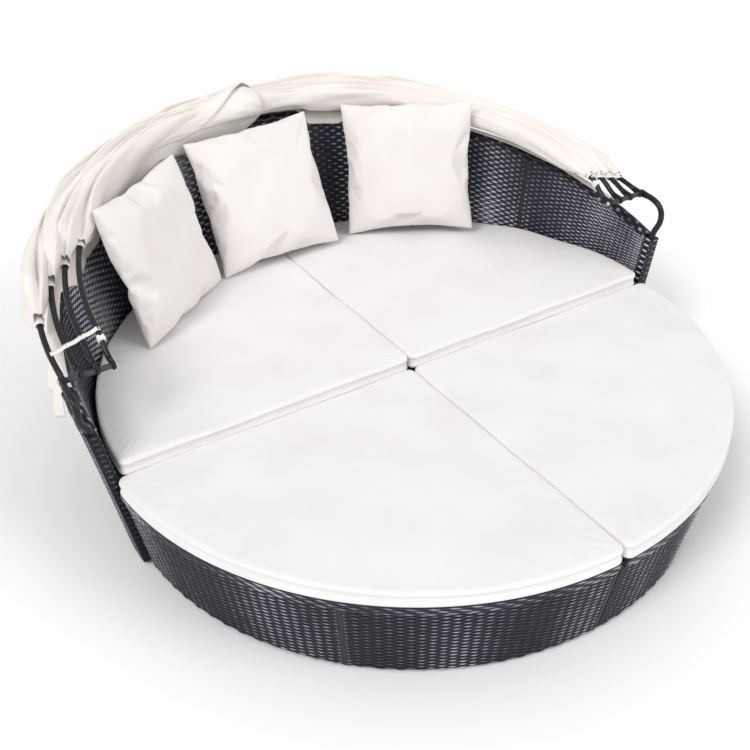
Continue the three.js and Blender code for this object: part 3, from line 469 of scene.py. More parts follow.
# Materials
class Shade:
    """A node material: a base colour that varies, and bumps added one on another."""

    def __init__(self, name, roughness, metallic=0.0):
        self.material = bpy.data.materials.new(name)
        self.material.use_nodes = True
        self.nodes = self.material.node_tree.nodes
        self.links = self.material.node_tree.links
        self.surface = self.nodes["Principled BSDF"]
        self.surface.inputs["Roughness"].default_value = roughness
        self.surface.inputs["Metallic"].default_value = metallic
        self.place = self.nodes.new("ShaderNodeTexCoord").outputs["Object"]
        self.bump = None

    def scaled(self, scale):
        mapping = self.nodes.new("ShaderNodeMapping")
        mapping.inputs["Scale"].default_value = scale
        self.links.new(self.place, mapping.inputs["Vector"])
        return mapping.outputs["Vector"]

    def noise(self, scale, detail=2.0):
        texture = self.nodes.new("ShaderNodeTexNoise")
        texture.inputs["Scale"].default_value = 1.0
        texture.inputs["Detail"].default_value = detail
        self.links.new(self.scaled(scale), texture.inputs["Vector"])
        return texture.outputs["Fac"]

    def threads(self, scale):
        texture = self.nodes.new("ShaderNodeTexWave")
        texture.inputs["Scale"].default_value = 1.0
        texture.inputs["Distortion"].default_value = 0.6
        texture.inputs["Detail"].default_value = 1.0
        self.links.new(self.scaled(scale), texture.inputs["Vector"])
        return texture.outputs["Fac"]

    def times(self, value, factor, added=None):
        """The value times a factor, plus another value if there is one."""
        node = self.nodes.new("ShaderNodeMath")
        node.operation = "MULTIPLY_ADD" if added else "MULTIPLY"
        self.links.new(value, node.inputs[0])
        node.inputs[1].default_value = factor
        if added:
            self.links.new(added, node.inputs[2])
        return node.outputs["Value"]

    def colour(self, value, stops):
        ramp = self.nodes.new("ShaderNodeValToRGB")
        while len(ramp.color_ramp.elements) < len(stops):
            ramp.color_ramp.elements.new(0.5)
        for element, (place, colour) in zip(ramp.color_ramp.elements, stops):
            element.position = place
            element.color = (*colour, 1.0)
        self.links.new(value, ramp.inputs["Fac"])
        self.links.new(ramp.outputs["Color"], self.surface.inputs["Base Color"])

    def rough(self, value, low, high):
        spread = self.nodes.new("ShaderNodeMapRange")
        spread.inputs["To Min"].default_value = low
        spread.inputs["To Max"].default_value = high
        self.links.new(value, spread.inputs["Value"])
        self.links.new(spread.outputs["Result"], self.surface.inputs["Roughness"])

    def relief(self, value, distance, strength=1.0):
        bump = self.nodes.new("ShaderNodeBump")
        bump.inputs["Distance"].default_value = distance
        bump.inputs["Strength"].default_value = strength
        self.links.new(value, bump.inputs["Height"])
        if self.bump:
            self.links.new(self.bump, bump.inputs["Normal"])
        self.bump = bump.outputs["Normal"]
        self.links.new(self.bump, self.surface.inputs["Normal"])


def wicker_shade():
    """Flat plastic strands: near black where they dive under a stake, paler on the crests, where a highlight
    is painted.
    """
    shade = Shade("wicker_strands", 0.4)
    crest = shade.nodes.new("ShaderNodeAttribute")
    crest.attribute_name = "crest"
    # Painted highlight from the crest attribute; fine noise adds random tone, and broad noise paints patches
    # of brighter and darker reflection.
    highlight_and_tone = shade.times(shade.noise((45, 45, 120)), 0.3, crest.outputs["Fac"])
    highlight_and_tone = shade.times(shade.noise((3.2, 3.2, 0.6)), 1.5, highlight_and_tone)
    # Near-black strands up to the last stop, which is the painted highlight's colour.
    black = (0.3, (0.003, 0.003, 0.006))
    dark = (0.5, (0.008, 0.008, 0.016))
    blue = (0.66, (0.028, 0.028, 0.046))
    painted_highlight = (0.82, (0.56, 0.56, 0.62))
    shade.colour(shade.times(highlight_and_tone, 0.42), [black, dark, blue, painted_highlight])
    shade.rough(shade.noise((30, 30, 90)), 0.26, 0.4)
    shade.surface.inputs["Specular IOR Level"].default_value = 0.26
    shade.relief(shade.noise((24, 24, 1500)), 0.25 * MM)
    return shade.material


def backing_shade():
    shade = Shade("wicker_backing", 0.6)
    low, high = (0.004, 0.004, 0.006), (0.012, 0.012, 0.016)
    shade.colour(shade.noise((40, 40, 300)), [(0.35, low), (0.7, high)])
    shade.relief(shade.threads((0, 0, 900)), 0.6 * MM)
    return shade.material


def metal_shade():
    shade = Shade("powder_coat", 0.34)
    low, high = (0.006, 0.006, 0.008), (0.014, 0.014, 0.017)
    shade.colour(shade.noise((25, 25, 25), 3.0), [(0.3, low), (0.7, high)])
    shade.rough(shade.noise((70, 70, 70)), 0.26, 0.38)
    shade.surface.inputs["Specular IOR Level"].default_value = 0.35
    shade.relief(shade.noise((900, 900, 900)), 0.05 * MM)
    return shade.material


def steel_shade():
    shade = Shade("zinc_steel", 0.3, 1.0)
    low, high = (0.46, 0.47, 0.49), (0.66, 0.67, 0.69)
    shade.colour(shade.noise((120, 120, 120), 3.0), [(0.3, low), (0.7, high)])
    shade.rough(shade.noise((400, 90, 90)), 0.22, 0.42)
    shade.relief(shade.noise((1500, 200, 200)), 0.03 * MM)
    return shade.material


def plastic_shade(name, low, high):
    shade = Shade(name, 0.48)
    shade.colour(shade.noise((50, 50, 50), 3.0), [(0.3, low), (0.7, high)])
    shade.relief(shade.noise((1400, 1400, 1400)), 0.05 * MM)
    return shade.material


def cloth_shade(name, low, high, thread, sheen):
    shade = Shade(name, 0.88)
    shade.surface.inputs["Sheen Weight"].default_value = sheen
    shade.surface.inputs["Sheen Roughness"].default_value = 0.5
    shade.surface.inputs["Specular IOR Level"].default_value = 0.25
    shade.colour(shade.noise((7, 7, 7), 4.0), [(0.3, low), (0.7, high)])
    shade.relief(shade.noise((38, 38, 38), 3.0), 0.5 * MM, 0.5)
    for scale in ((thread, 0, 0), (0, thread, 0), (0, 0, thread)):
        shade.relief(shade.threads(scale), 0.05 * MM, 0.35)
    return shade.material


def floor_shade():
    shade = Shade("studio_floor", 0.9)
    low, high = (0.985, 0.985, 0.985), (0.995, 0.995, 0.995)
    shade.colour(shade.noise((2, 2, 2)), [(0.3, low), (0.7, high)])
    return shade.material


wicker = wicker_shade()
backing = backing_shade()
powder_coat = metal_shade()
zinc_steel = steel_shade()
spacer_plastic = plastic_shade("spacer_plastic_black", (0.02, 0.02, 0.022), (0.05, 0.05, 0.055))
foot_plastic = plastic_shade("foot_plastic_black", (0.012, 0.012, 0.012), (0.03, 0.03, 0.03))
cushion_cloth = cloth_shade("cushion_weave", (0.79, 0.765, 0.765), (0.83, 0.81, 0.81), 1500, 0.2)
pillow_cloth = cloth_shade("pillow_weave", (0.78, 0.735, 0.72), (0.82, 0.785, 0.77), 1500, 0.2)
canopy_cloth = cloth_shade("canopy_weave", (0.79, 0.745, 0.70), (0.84, 0.805, 0.765), 2200, 0.15)


# Camera, floor and light
def back_vector(azimuth, elevation):
    level = math.cos(elevation)
    return Vector((math.sin(azimuth) * level, -math.cos(azimuth) * level, math.sin(elevation)))


def add_camera():
    data = bpy.data.cameras.new("camera")
    camera = bpy.data.objects.new("camera", data)
    bpy.context.scene.collection.objects.link(camera)
    back = back_vector(view_azimuth, view_elevation)
    level_right = Vector((math.cos(view_azimuth), math.sin(view_azimuth), 0))
    level_up = back.cross(level_right)
    right = level_right * math.cos(view_roll) + level_up * math.sin(view_roll)
    up = back.cross(right)
    turn = Matrix((right, up, back)).transposed()
    camera.matrix_world = Matrix.Translation(view_target + back * view_distance) @ turn.to_4x4()
    data.sensor_width = sensor_width
    data.lens = focal_pixels / image_size * sensor_width
    data.shift_x = (image_size / 2 - axis_pixels[0]) / image_size
    data.shift_y = (axis_pixels[1] - image_size / 2) / image_size
    data.clip_start = 0.05
    data.clip_end = 100
    bpy.context.scene.camera = camera


def add_floor():
    corners = [(x * floor_half, y * floor_half, 0) for x, y in ((-1, -1), (1, -1), (1, 1), (-1, 1))]
    floor = make_piece("floor", corners, [(0, 1, 2, 3)], None, floor_shade())


def add_light(name, azimuth, elevation, spread, strength):
    """A far studio light, which lights the floor evenly."""
    data = bpy.data.lights.new(name, "SUN")
    data.angle = math.radians(spread)
    data.energy = strength
    light = bpy.data.objects.new(name, data)
    bpy.context.scene.collection.objects.link(light)
    back = back_vector(math.radians(azimuth), math.radians(elevation))
    light.rotation_mode = "QUATERNION"
    light.rotation_quaternion = back.to_track_quat("Z", "Y")


def add_world():
    world = bpy.data.worlds.new("studio")
    world.use_nodes = True
    background = world.node_tree.nodes["Background"]
    background.inputs["Color"].default_value = (1.0, 1.0, 1.0, 1.0)
    background.inputs["Strength"].default_value = sky_strength
    bpy.context.scene.world = world
    bpy.context.scene.view_settings.view_transform = "Standard"


add_camera()
add_floor()
add_world()
add_light("key", azimuth=-70, elevation=46, spread=22, strength=1.3)
add_light("fill", azimuth=30, elevation=35, spread=30, strength=0.8)


# Weave: a skin of strands that lies just proud of the wall behind it
def stations(length, bars, steps, pitch):
    """Places along a wall as shares of its length, with each one's stake count and bar height."""
    places, stakes, lifts = [], [], []
    count = 0.0
    start = 0.0
    edges = [(centre * length, bars_here) for centre, bars_here in bars] + [(None, 0)]
    for centre, bars_here in edges:
        half = bars_here * bar_width / 2
        stop = length if centre is None else min(max(centre, half), length - half) - half
        cells = max(1, round((stop - start) / pitch)) if stop - start > pitch / 2 else 0
        for k in range(cells * steps):
            places.append(lerp(start, stop, k / (cells * steps)))
            stakes.append(count + k / steps)
            lifts.append(0.0)
        count += cells
        for bar in range(bars_here):
            for k in range(bar_steps):
                places.append(stop + (bar + k / bar_steps) * bar_width)
                stakes.append(count)
                lifts.append(bar_lift * math.sin(math.pi * k / bar_steps) ** bar_roundness)
        start = stop + 2 * half
    places.append(length)
    stakes.append(count)
    lifts.append(0.0)
    return np.array(places) / length, np.array(stakes), np.array(lifts)


def strand_rows(count, shares=row_shares):
    """Places across a weave, a few to each strand, and the last strand's end."""
    return np.array([k + share for k in range(count) for share in shares] + [count])


def weave_relief(stakes, rows, lifts, lift, seed):
    """Heights of a plain weave: a strand is high over every second stake, its neighbours over the others."""
    draws = np.random.default_rng(seed)
    turn = draws.uniform(*lift_spread_shares, (int(rows[-1]) + 2, int(stakes[-1]) + 2))
    row = np.floor(rows + 1e-9).astype(int)
    local = rows - row
    stake = np.floor(stakes + 0.5).astype(int)
    over = np.cos(math.pi * (stakes[:, None] + row[None, :]))
    front = lift * over * turn[row[None, :], stake[:, None]] + strand_body
    level = np.maximum(front, stake_level)
    level = np.where(local[None, :] < groove_share, groove_level, level)
    bound = lifts[:, None] * (0.9 + 0.1 * np.cos(2 * math.pi * rows[None, :]))
    return np.where(lifts[:, None] > 0, bound, level)


def skin(name, surface, across, rows, relief, body):
    """A piece over a surface, with each point moved out by its relief."""
    points, normals = surface(across[:, None], rows[None, :] / rows[-1])
    points = points + normals * relief[..., None]
    return make_piece(name, points, grid_faces(len(across), len(rows)), body, wicker)


def mark_crests(piece, shares):
    """Stores on each point its share of painted highlight for the wicker's colour, from how far the strand
    there stands out.
    """
    crest = piece.data.attributes.new("crest", "FLOAT", "POINT")
    crest.data.foreach_set("value", np.clip(shares, 0, 1).ravel().astype(np.float32))


def weave_piece(name, surface, length, rise, strand, body, base=weave_base, lift=strand_lift, bars=(),
                steps=4, seed=1, pitch=stake_pitch, painted_light=(0, 1)):
    across, stakes, lifts = stations(length, bars, steps, pitch)
    rows = strand_rows(max(1, round(rise / strand)))
    relief = weave_relief(stakes, rows, lifts, lift, seed) + base
    for edge in (0, -1):
        relief[edge, :] = -base
        relief[:, edge] = -base
    piece = skin(name, surface, across, rows, relief, body)
    # Painted highlight on the strands' tops, brighter on each strand's upper half as if lit from above; bars
    # take none.
    upper = np.interp(rows - np.floor(rows), row_shares, row_highlight_shares)[None, :]
    crests = np.clip((relief - base) / (lift + strand_body), 0, 1) ** crest_power * upper
    mark_crests(piece, np.where(lifts[:, None] > 0, 0, lerp(*painted_light, crests)))


def cone_normal(bearing, facing=1):
    level = 1 / math.sqrt(1 + flare ** 2)
    return facing * stack(np.cos(bearing) * level, np.sin(bearing) * level, -flare * level)


def wall_bearing(share, radius, edge, sweep):
    start = np.arcsin(edge / radius)
    return start + share * (sweep - 2 * start)


def ottoman_weave(side, quarter):
    body = "ottoman_" + side
    band_foot = ottoman_top - band_height

    def ring(across, height, proud):
        radius = cone_radius(height) + proud
        bearing = wall_bearing(across, radius, ottoman_edge, math.pi / 2) + quarter * math.pi / 2
        return polar(radius, bearing, height), cone_normal(bearing) * np.ones_like(radius)[..., None]

    def skirt(across, up):
        return ring(across, lerp(skirt_foot, band_foot, up), 0)

    def band(across, up):
        return ring(across, lerp(band_foot, ottoman_top, up), band_relief * smoothstep(up, -0.02, 0.1))

    length = cone_radius(ottoman_top) * math.pi / 2
    ends = bar_width / length
    bars = [(place, column_bars) for place in (ends, 0.5, 1 - ends)]
    weave_piece(body + "_skirt_weave", skirt, length, band_foot - skirt_foot, skirt_strand, body,
                bars=bars, seed=11 + quarter)
    rope_band(body + "_band_weave", band, length, body)
    for number, letter in enumerate("ab"):
        node = f"{body}_side_{letter}"
        panel_weave(node + "_weave", node, body, 31 + number)


def panel_weave(name, node, body, seed):
    """The weave of a flat panel: an ottoman's faces the sofa or the other ottoman, the sofa's faces them."""
    low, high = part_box(node)
    along_x = high.x - low.x > high.y - low.y
    toward = 1 if body.startswith("ottoman") else -1
    face_y = high.y if toward > 0 else low.y
    face_x = high.x if high.x < 0 else low.x

    def surface(across, up):
        height = lerp(low.z, high.z, up)
        reach = cone_radius(height) - panel_margin
        if along_x:
            reach = np.minimum(reach, max(-low.x, high.x))
            if low.x * high.x < 0:
                start, stop = -reach, reach
            else:
                start, stop = (np.copysign(size, low.x + high.x) for size in (panel_start, reach))
            points = stack(lerp(start, stop, across), face_y, height)
            return points, np.broadcast_to(np.array([0.0, toward, 0.0]), points.shape)
        points = stack(face_x, bed_y - lerp(panel_start, reach, across), height)
        return points, np.broadcast_to(np.array([-np.sign(face_x), 0.0, 0.0]), points.shape)

    length = (high.x - low.x) if along_x else (high.y - low.y)
    weave_piece(name, surface, length, high.z - low.z, side_strand, body, base=side_base, lift=side_lift,
                steps=3, seed=seed)


def rope_band(name, surface, length, body):
    """Rows of thick twisted strands along a top edge."""
    across = np.linspace(0, 1, round(length / rope_twist_length) * rope_steps + 1)
    rows = strand_rows(rope_rows, rope_row_shares)
    local = (rows - np.floor(rows))[None, :]
    number = np.floor(rows)[None, :]
    twists = across[:, None] * length / rope_twist_length
    turn = 2 * math.pi * (twists + rope_lean_share * local + rope_offset_share * number)
    round_share = np.sqrt(np.maximum(0, 1 - (2 * local - 1) ** 2))
    relief = rope_height * round_share * (1 - rope_twist_share + rope_twist_share * np.cos(turn))
    relief[:, -1] = 0
    relief = relief + rope_base
    for edge in (0, -1):
        relief[edge, :] = -rope_sink
    piece = skin(name, surface, across, rows, relief, body)
    # Painted highlight on the twisted strands, brightest where they stand highest.
    mark_crests(piece, relief / (rope_height + rope_base))


def shell_surface(radius_at, foot, facing):
    """The backrest's outer or inner skin, from its foot up to the rim."""
    def surface(across, up):
        bearing = wall_bearing(across, radius_at(arm_height), sofa_edge, math.pi)
        height = lerp(foot, rim_height(bearing) - rim_overlap, up)
        bearing = bearing * np.ones_like(height)
        return polar(radius_at(height), bearing, height), cone_normal(bearing, facing)

    return surface


def sofa_walls():
    columns = [(place, column_bars) for place in column_shares]
    outer = shell_surface(shell_outer, skirt_foot, 1)
    outer_length = math.pi * shell_outer(back_height / 2)
    weave_piece("sofa_outer_strands", outer, outer_length, outer_rise, wall_strand, "sofa", bars=columns,
                steps=3, seed=5)
    inner = shell_surface(shell_inner, sofa_top, -1)
    inner_length = math.pi * shell_inner(back_height * 0.7)
    # The inner wall is painted lighter, as if lit, with painted highlight on its strand tops.
    weave_piece("backrest_inner_strands", inner, inner_length, inner_rise, wall_strand, "sofa",
                base=inner_base, bars=columns, seed=6, pitch=inner_stake_pitch, painted_light=inner_light_shares)
    panel_weave("sofa_front_strands", "sofa_front_weave", "sofa", 41)


def rim():
    """The rounded top edge of the backrest, wrapped along its length."""
    section = strand_rows(rim_strands) * math.pi / rim_strands
    strand = np.floor(section * rim_strands / math.pi - 1e-9)
    local = section * rim_strands / math.pi - strand
    middle_strand = rim_strands // 2
    steps = round(math.pi * shell_middle(back_height) / stake_pitch) * rim_steps
    share = np.linspace(0, 1, steps + 1)[:, None]
    bearing = wall_bearing(share, shell_middle(arm_height), sofa_edge, math.pi)
    over = np.cos(math.pi * (share * steps / rim_steps + strand[None, :]))
    level = rim_level_share + (1 - rim_level_share) * over * (np.abs(strand - middle_strand) > 0.5)
    grow = rim_base + wrap_lift * np.where(local > groove_share, level, rim_groove_share)
    middle = rim_height(bearing) - rim_depth
    out = (rim_half_width + grow) * np.cos(section)[None, :]
    up = (rim_depth + grow) * np.sin(section)[None, :]
    points = polar(shell_middle(middle) + out, bearing * np.ones_like(out), middle + up)
    faces = loft_faces(len(points), points.shape[1])
    piece = make_piece("backrest_rim_wrap", points, faces, "sofa", wicker)
    # Painted highlight on the crests of the rim's strands.
    highlight_and_tone = rim_highlight_share * np.maximum(over, 0) ** crest_power
    mark_crests(piece, np.where(local > groove_share, highlight_and_tone, 0))
    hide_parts("backrest_rim")


def arm_end(side):
    """A post wrapped in level strands, as wide as the wall and square at its foot."""
    name = "arm_end_wrap_" + side_word(side)
    row_count = round((arm_height - skirt_foot) / wall_strand)
    rows = strand_rows(row_count)
    standing = (rows - np.floor(rows))[:, None] > groove_share
    around = np.linspace(0, 2 * math.pi, arm_points, endpoint=False)
    across, along = squared(around, arm_squareness)
    over = np.cos(math.pi * (arm_stakes * around[None, :] / (2 * math.pi) + np.floor(rows)[:, None]))
    grow = np.where(standing, arm_base + wrap_lift * np.maximum(over, 0), groove_level)
    height = lerp(skirt_foot, arm_height, rows / row_count)[:, None]
    half_x = shell_thickness / 2 + grow
    half_y = end_post_depth / 2 + grow - arm_base
    x = side * (shell_middle(height) + across[None, :] * half_x)
    y = bed_y + seat_edge + end_post_depth / 2 + along[None, :] * half_y
    faces = loft_faces(len(rows), len(around))
    piece = make_piece(name + "_strands", stack(x, y, height), faces, "sofa", wicker)
    # Painted highlight on the crests, weaker on the end's front face, which is painted in shade.
    painted_light = np.where(along[None, :] > -arm_face_share, arm_side_highlight_share, arm_shaded_front_share)
    mark_crests(piece, np.where(standing, painted_light * np.maximum(over, 0), 0))
    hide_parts(name)


ottoman_weave("left", 2)
ottoman_weave("right", 3)
sofa_walls()
rim()
arm_end(-1)
arm_end(1)


# Canopy bows, posts and pivots
def bow_half(order):
    return rear_bow_x - order * bow_spacing


def bow_point(order, share):
    turn = np.pi * np.asarray(share, float)
    power = 2 / bow_squareness[order]
    x = bow_half(order) * np.sign(np.cos(turn)) * np.abs(np.cos(turn)) ** power
    reach = bow_reach - order * bow_reach_step
    depth = lerp(bow_setback, reach, np.maximum(0, np.sin(turn)) ** power)
    rise = order * bow_lift * smoothstep(depth, bow_setback, crank_length)
    base = stack(x, pin_y, pin_z)
    return base + depth[..., None] * depth_direction + rise[..., None] * rise_direction


def even_shares(order, count, first=0.0, last=1.0):
    """Curve shares of points that lie evenly along a bow."""
    shares = np.linspace(0, 1, 2001)
    steps = np.linalg.norm(np.diff(bow_point(order, shares), axis=0), axis=1)
    run = np.concatenate([[0], np.cumsum(steps)]) / steps.sum()
    return np.interp(np.linspace(first, last, count), run, shares)


def lug_points(x, along, up):
    """A flat lug on the pivot bolt: its outline, half round at the bolt."""
    turns = np.linspace(math.pi / 2, 1.5 * math.pi, 17)
    outline = [(lug_reach, -bow_radius), (lug_reach, bow_radius)]
    outline += [(lug_radius * math.cos(t), lug_radius * math.sin(t)) for t in turns]
    full = 1 - 2 * lug_edge / lug_thickness
    rings = []
    for offset, shrink in ((-1, lug_edge), (-full, 0), (full, 0), (1, lug_edge)):
        centre = np.array([x + offset * lug_thickness / 2, pin_y, pin_z])
        ring = []
        for a, b in outline:
            size = math.hypot(a, b)
            scale = (size - shrink) / size
            ring.append(centre + a * scale * along + b * scale * up)
        rings.append(ring)
    return np.array(rings)


def metal_piece(node, parts, body):
    """One piece of the frame's metal from several closed lofts, given as ring grids."""
    points, faces = [], []
    for rings in parts:
        start = len(points)
        faces += [tuple(start + i for i in face) for face in loft_faces(*rings.shape[:2])]
        points += rings.reshape(-1, 3).tolist()
    piece = make_piece(node + "_tube", points, faces, body, powder_coat)
    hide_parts(node)


def bow(order):
    path = bow_point(order, even_shares(order, bow_count))
    parts = [tube_points(path, bow_radius, bow_sides)]
    parts += [lug_points(side * bow_half(order), depth_direction, rise_direction) for side in (-1, 1)]
    metal_piece(bow_names[order], parts, bow_bodies[order])


def bezier(points, count):
    share = np.linspace(0, 1, count)[:, None]
    levels = [np.asarray(p, float)[None, :] * np.ones_like(share) for p in points]
    while len(levels) > 1:
        levels = [lerp(a, b, share) for a, b in zip(levels, levels[1:])]
    return levels[0]


def post(side):
    def centre(height):
        return np.array([side * shell_middle(height), bed_y + seat_edge + end_post_depth / 2, height])

    foot = centre(skirt_foot)
    collar = centre(arm_height)
    lean = (collar - foot) / np.linalg.norm(collar - foot)
    bend_y = collar[1] - post_lean
    rise = np.array([side * post_x, bend_y, pin_z - post_bend_height])
    crown = np.array([side * post_x, bend_y, pin_z])
    stop = np.array([side * post_x, bend_y + post_bend_depth, pin_z])
    ease = (rise[2] - collar[2]) / 2
    upper = bezier([collar, collar + lean * ease, rise - np.array([0, 0, ease]), rise], 14)
    bend = bezier([rise, crown, stop], 22)
    path = np.concatenate([[foot], upper, bend[1:]])
    forward = np.array([0.0, -1.0, 0.0])
    down = np.array([0.0, 0.0, -1.0])
    parts = [tube_points(path, post_radius, post_sides), lug_points(side * post_x, forward, down)]
    metal_piece("canopy_post_" + side_word(side), parts, "sofa")


def turned_part(node, ending, profile, shade, sides=28):
    """A round part on the pivot axis from (x, radius) pairs."""
    turns = 2 * math.pi * np.arange(sides) / sides
    rings = []
    for x, radius in profile:
        rings.append([(x, pin_y + radius * math.cos(t), pin_z + radius * math.sin(t)) for t in turns])
    faces = loft_faces(len(rings), sides)
    piece = make_piece(node + ending, np.array(rings), faces, "sofa", shade)
    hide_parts(node)


def bolt(side):
    node = "pivot_bolt_" + side_word(side)
    low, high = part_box(node)
    inner, outer = (low.x, high.x) if side > 0 else (high.x, low.x)
    seat = outer - side * bolt_head_depth
    profile = [(inner, bolt_radius - bolt_chamfer), (inner + side * bolt_chamfer, bolt_radius)]
    profile += [(seat, bolt_radius), (seat, bolt_head_radius)]
    for turn in dome_turns:
        x = outer - side * (bolt_head_depth - bolt_head_depth * math.sin(turn))
        profile.append((x, max(dome_tip, bolt_head_radius * math.cos(turn))))
    profile.append((outer, dome_tip))
    turned_part(node, "_round", profile, zinc_steel)


def nut(side):
    node = "pivot_nut_" + side_word(side)
    low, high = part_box(node)
    crown, seat = (low.x, high.x) if side > 0 else (high.x, low.x)
    depth = abs(seat - crown)
    profile = [(crown, dome_tip)]
    for turn in dome_turns:
        x = crown + side * depth * nut_dome_depth_share * (1 - math.cos(turn))
        profile.append((x, nut_radius * nut_dome_share * math.sin(turn)))
    profile += [(crown + side * depth * nut_flat_share, nut_radius), (seat, nut_radius)]
    turned_part(node, "_dome", profile, zinc_steel)


def spacer(side, number):
    node = f"pivot_spacer_{number}_{side_word(side)}"
    low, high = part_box(node)
    end_radius = spacer_radius - spacer_rounding
    profile = [(low.x, end_radius), (low.x + spacer_rounding, spacer_radius)]
    profile += [(high.x - spacer_rounding, spacer_radius), (high.x, end_radius)]
    turned_part(node, "_sleeve", profile, spacer_plastic)


for order in range(4):
    bow(order)
for side in (-1, 1):
    post(side)
    bolt(side)
    nut(side)
    for number in (1, 2, 3):
        spacer(side, number)


# Canopy cloth
def bow_frame(order, shares):
    """Points along a bow, the level direction out of the bed, and the length run from the first point."""
    points = bow_point(order, shares)
    tangents = np.gradient(points, axis=0)
    tangents /= np.linalg.norm(tangents, axis=1)[:, None]
    outward = np.cross(rise_direction, tangents)
    outward /= np.linalg.norm(outward, axis=1)[:, None]
    flip = np.sign((outward * (points - pin_point)).sum(axis=1))
    run = np.concatenate([[0], np.cumsum(np.linalg.norm(np.diff(points, axis=0), axis=1))])
    return points, outward * flip[:, None], run


def beside_bow(points, outward, out, up):
    """Points that stand off a bow by so much outward and upward."""
    return points[:, None, :] + out[..., None] * outward[:, None, :] + up[..., None] * rise_direction


def smooth_rows(rows, steps):
    """Smooth curves through each row of points, with so many steps from one point to the next."""
    ends = np.concatenate([2 * rows[:, :1] - rows[:, 1:2], rows, 2 * rows[:, -1:] - rows[:, -2:-1]], axis=1)
    t = (np.arange(steps) / steps)[None, None, :, None]
    before, here, there, after = (ends[:, k:k + rows.shape[1] - 1, None, :] for k in range(4))
    curve = here + 0.5 * t * (there - before)
    curve = curve + 0.5 * t ** 2 * (2 * before - 5 * here + 4 * there - after)
    curve = curve + 0.5 * t ** 3 * (3 * here - before - 3 * there + after)
    return np.concatenate([curve.reshape(len(rows), -1, rows.shape[-1]), rows[:, -1:]], axis=1)


def mean_width(grid):
    return float(np.linalg.norm(np.diff(grid, axis=1), axis=2).sum(axis=1).mean())


def mean_length(grid):
    return float(np.linalg.norm(np.diff(grid, axis=0), axis=2).sum(axis=0).mean())


def cloth_piece(name, grid, body, flat, closed_columns=False):
    """A sheet of the canopy's cloth over a grid of points."""
    faces = grid_faces(*grid.shape[:2], closed_columns)
    piece = make_piece(name, grid, faces, body, canopy_cloth, cloth_thickness)
    return piece


def press_flat(piece, order):
    """Gives a piece of gathered cloth its own copy of its mesh."""
    anchor = bow_point(order, np.array([0.5]))[0]
    tuple(anchor)
    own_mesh(piece)


def span_bows(piece, order):
    """Bakes the piece's placement into its mesh."""
    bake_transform(piece)


def gathered_fold(order):
    """The cloth gathered on one bow: a few soft folds that wander along it and close at its ends."""
    shares = even_shares(order, cloth_count, panel_start_shares[order], panel_stop_shares[order])
    points, outward, run = bow_frame(order, shares)
    closing = lerp(fold_end_share, 1, smoothstep(np.minimum(run, run[-1] - run), 0, fold_end_length))
    height = table(fold_heights[order], shares) * MM * closing
    half = table(fold_half_widths, shares) * MM * closing
    lean = fold_lean_share * drift(run, 60 + order, *lean_waves)
    controls = []
    for number, (across, up) in enumerate(fold_outline_shares[order]):
        seed = 100 * (order + 1) + number
        valley = valley_share * np.maximum(0, drift(run, seed + 50, *valley_waves)) if 0 < number < 6 else 0
        out = half * (across + fold_wander_share * drift(run, seed, *outline_waves) + lean * up)
        rise = height * up * (1 + 0.5 * fold_wander_share * drift(run, seed + 20, *height_waves) - valley)
        if order == front_bow and number < 2:
            drop = np.interp(shares, front_hem_shares, front_hem_drops) * MM
            rise = rise - closing * drop * (1 - 0.6 * number) * (1 + 0.12 * drift(run, 77, *hem_waves))
        controls.append(np.stack([out, rise], axis=1))
    section = smooth_rows(np.stack(controls, axis=1), fold_steps)
    spread = np.linspace(0, 1, section.shape[1])[None, :]
    slant = waves(run[:, None] + 0.5 * spread, 0.8 * spread, 40 + order, low=0.8, high=3.2)
    section[..., 1] += fold_slant_rise * slant * closing[:, None] * np.sin(math.pi * spread)
    section[..., 0] += fold_slant_shift * np.roll(slant, 11, axis=0) * closing[:, None]
    grid = beside_bow(points, outward, section[..., 0], section[..., 1])
    piece = cloth_piece(bow_names[order].replace("_bow", "_fold"), grid, bow_bodies[order],
                        (mean_width(grid), mean_length(grid)))
    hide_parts(fold_nodes[order])
    if order:
        press_flat(piece, order)


def sleeve(order):
    """The hem that the bow runs through."""
    start = panel_start_shares[order] - sleeve_overrun_share
    stop = panel_stop_shares[order] + sleeve_overrun_share
    path, _, run = bow_frame(order, even_shares(order, cloth_count, start, stop))
    radius = sleeve_radius * (1 + 0.05 * drift(run, 80 + order, *sleeve_waves))
    rings = tube_points(path, radius, sleeve_sides)
    cloth_piece(bow_names[order].replace("_bow", "_sleeve"), rings, bow_bodies[order],
                (2 * math.pi * sleeve_radius, float(run[-1])),
                closed_columns=True)


def roof(order, name):
    """The roof cloth from one bow to the next, packed between them."""
    start = max(panel_start_shares[order - 1:order + 1])
    stop = min(panel_stop_shares[order - 1:order + 1])
    first = bow_point(order - 1, even_shares(order - 1, roof_count, start, stop))
    last = bow_point(order, even_shares(order, roof_count, start, stop))
    weight = np.linspace(0, 1, roof_steps)
    spread = 0.5 - np.sin(np.arcsin(1 - 2 * weight) / 3)
    plane = pin_point + (order - 1) * bow_lift * rise_direction
    first = first - ((first - plane) @ rise_direction)[:, None] * rise_direction
    last = last - ((last - plane) @ rise_direction)[:, None] * rise_direction
    grid = lerp(first[:, None, :], last[:, None, :], weight[None, :, None])
    grid = grid + (spread * bow_lift)[None, :, None] * rise_direction
    piece = make_piece(name, grid, grid_faces(*grid.shape[:2]), None, canopy_cloth)
    span_bows(piece, order)
    mean_length(grid)


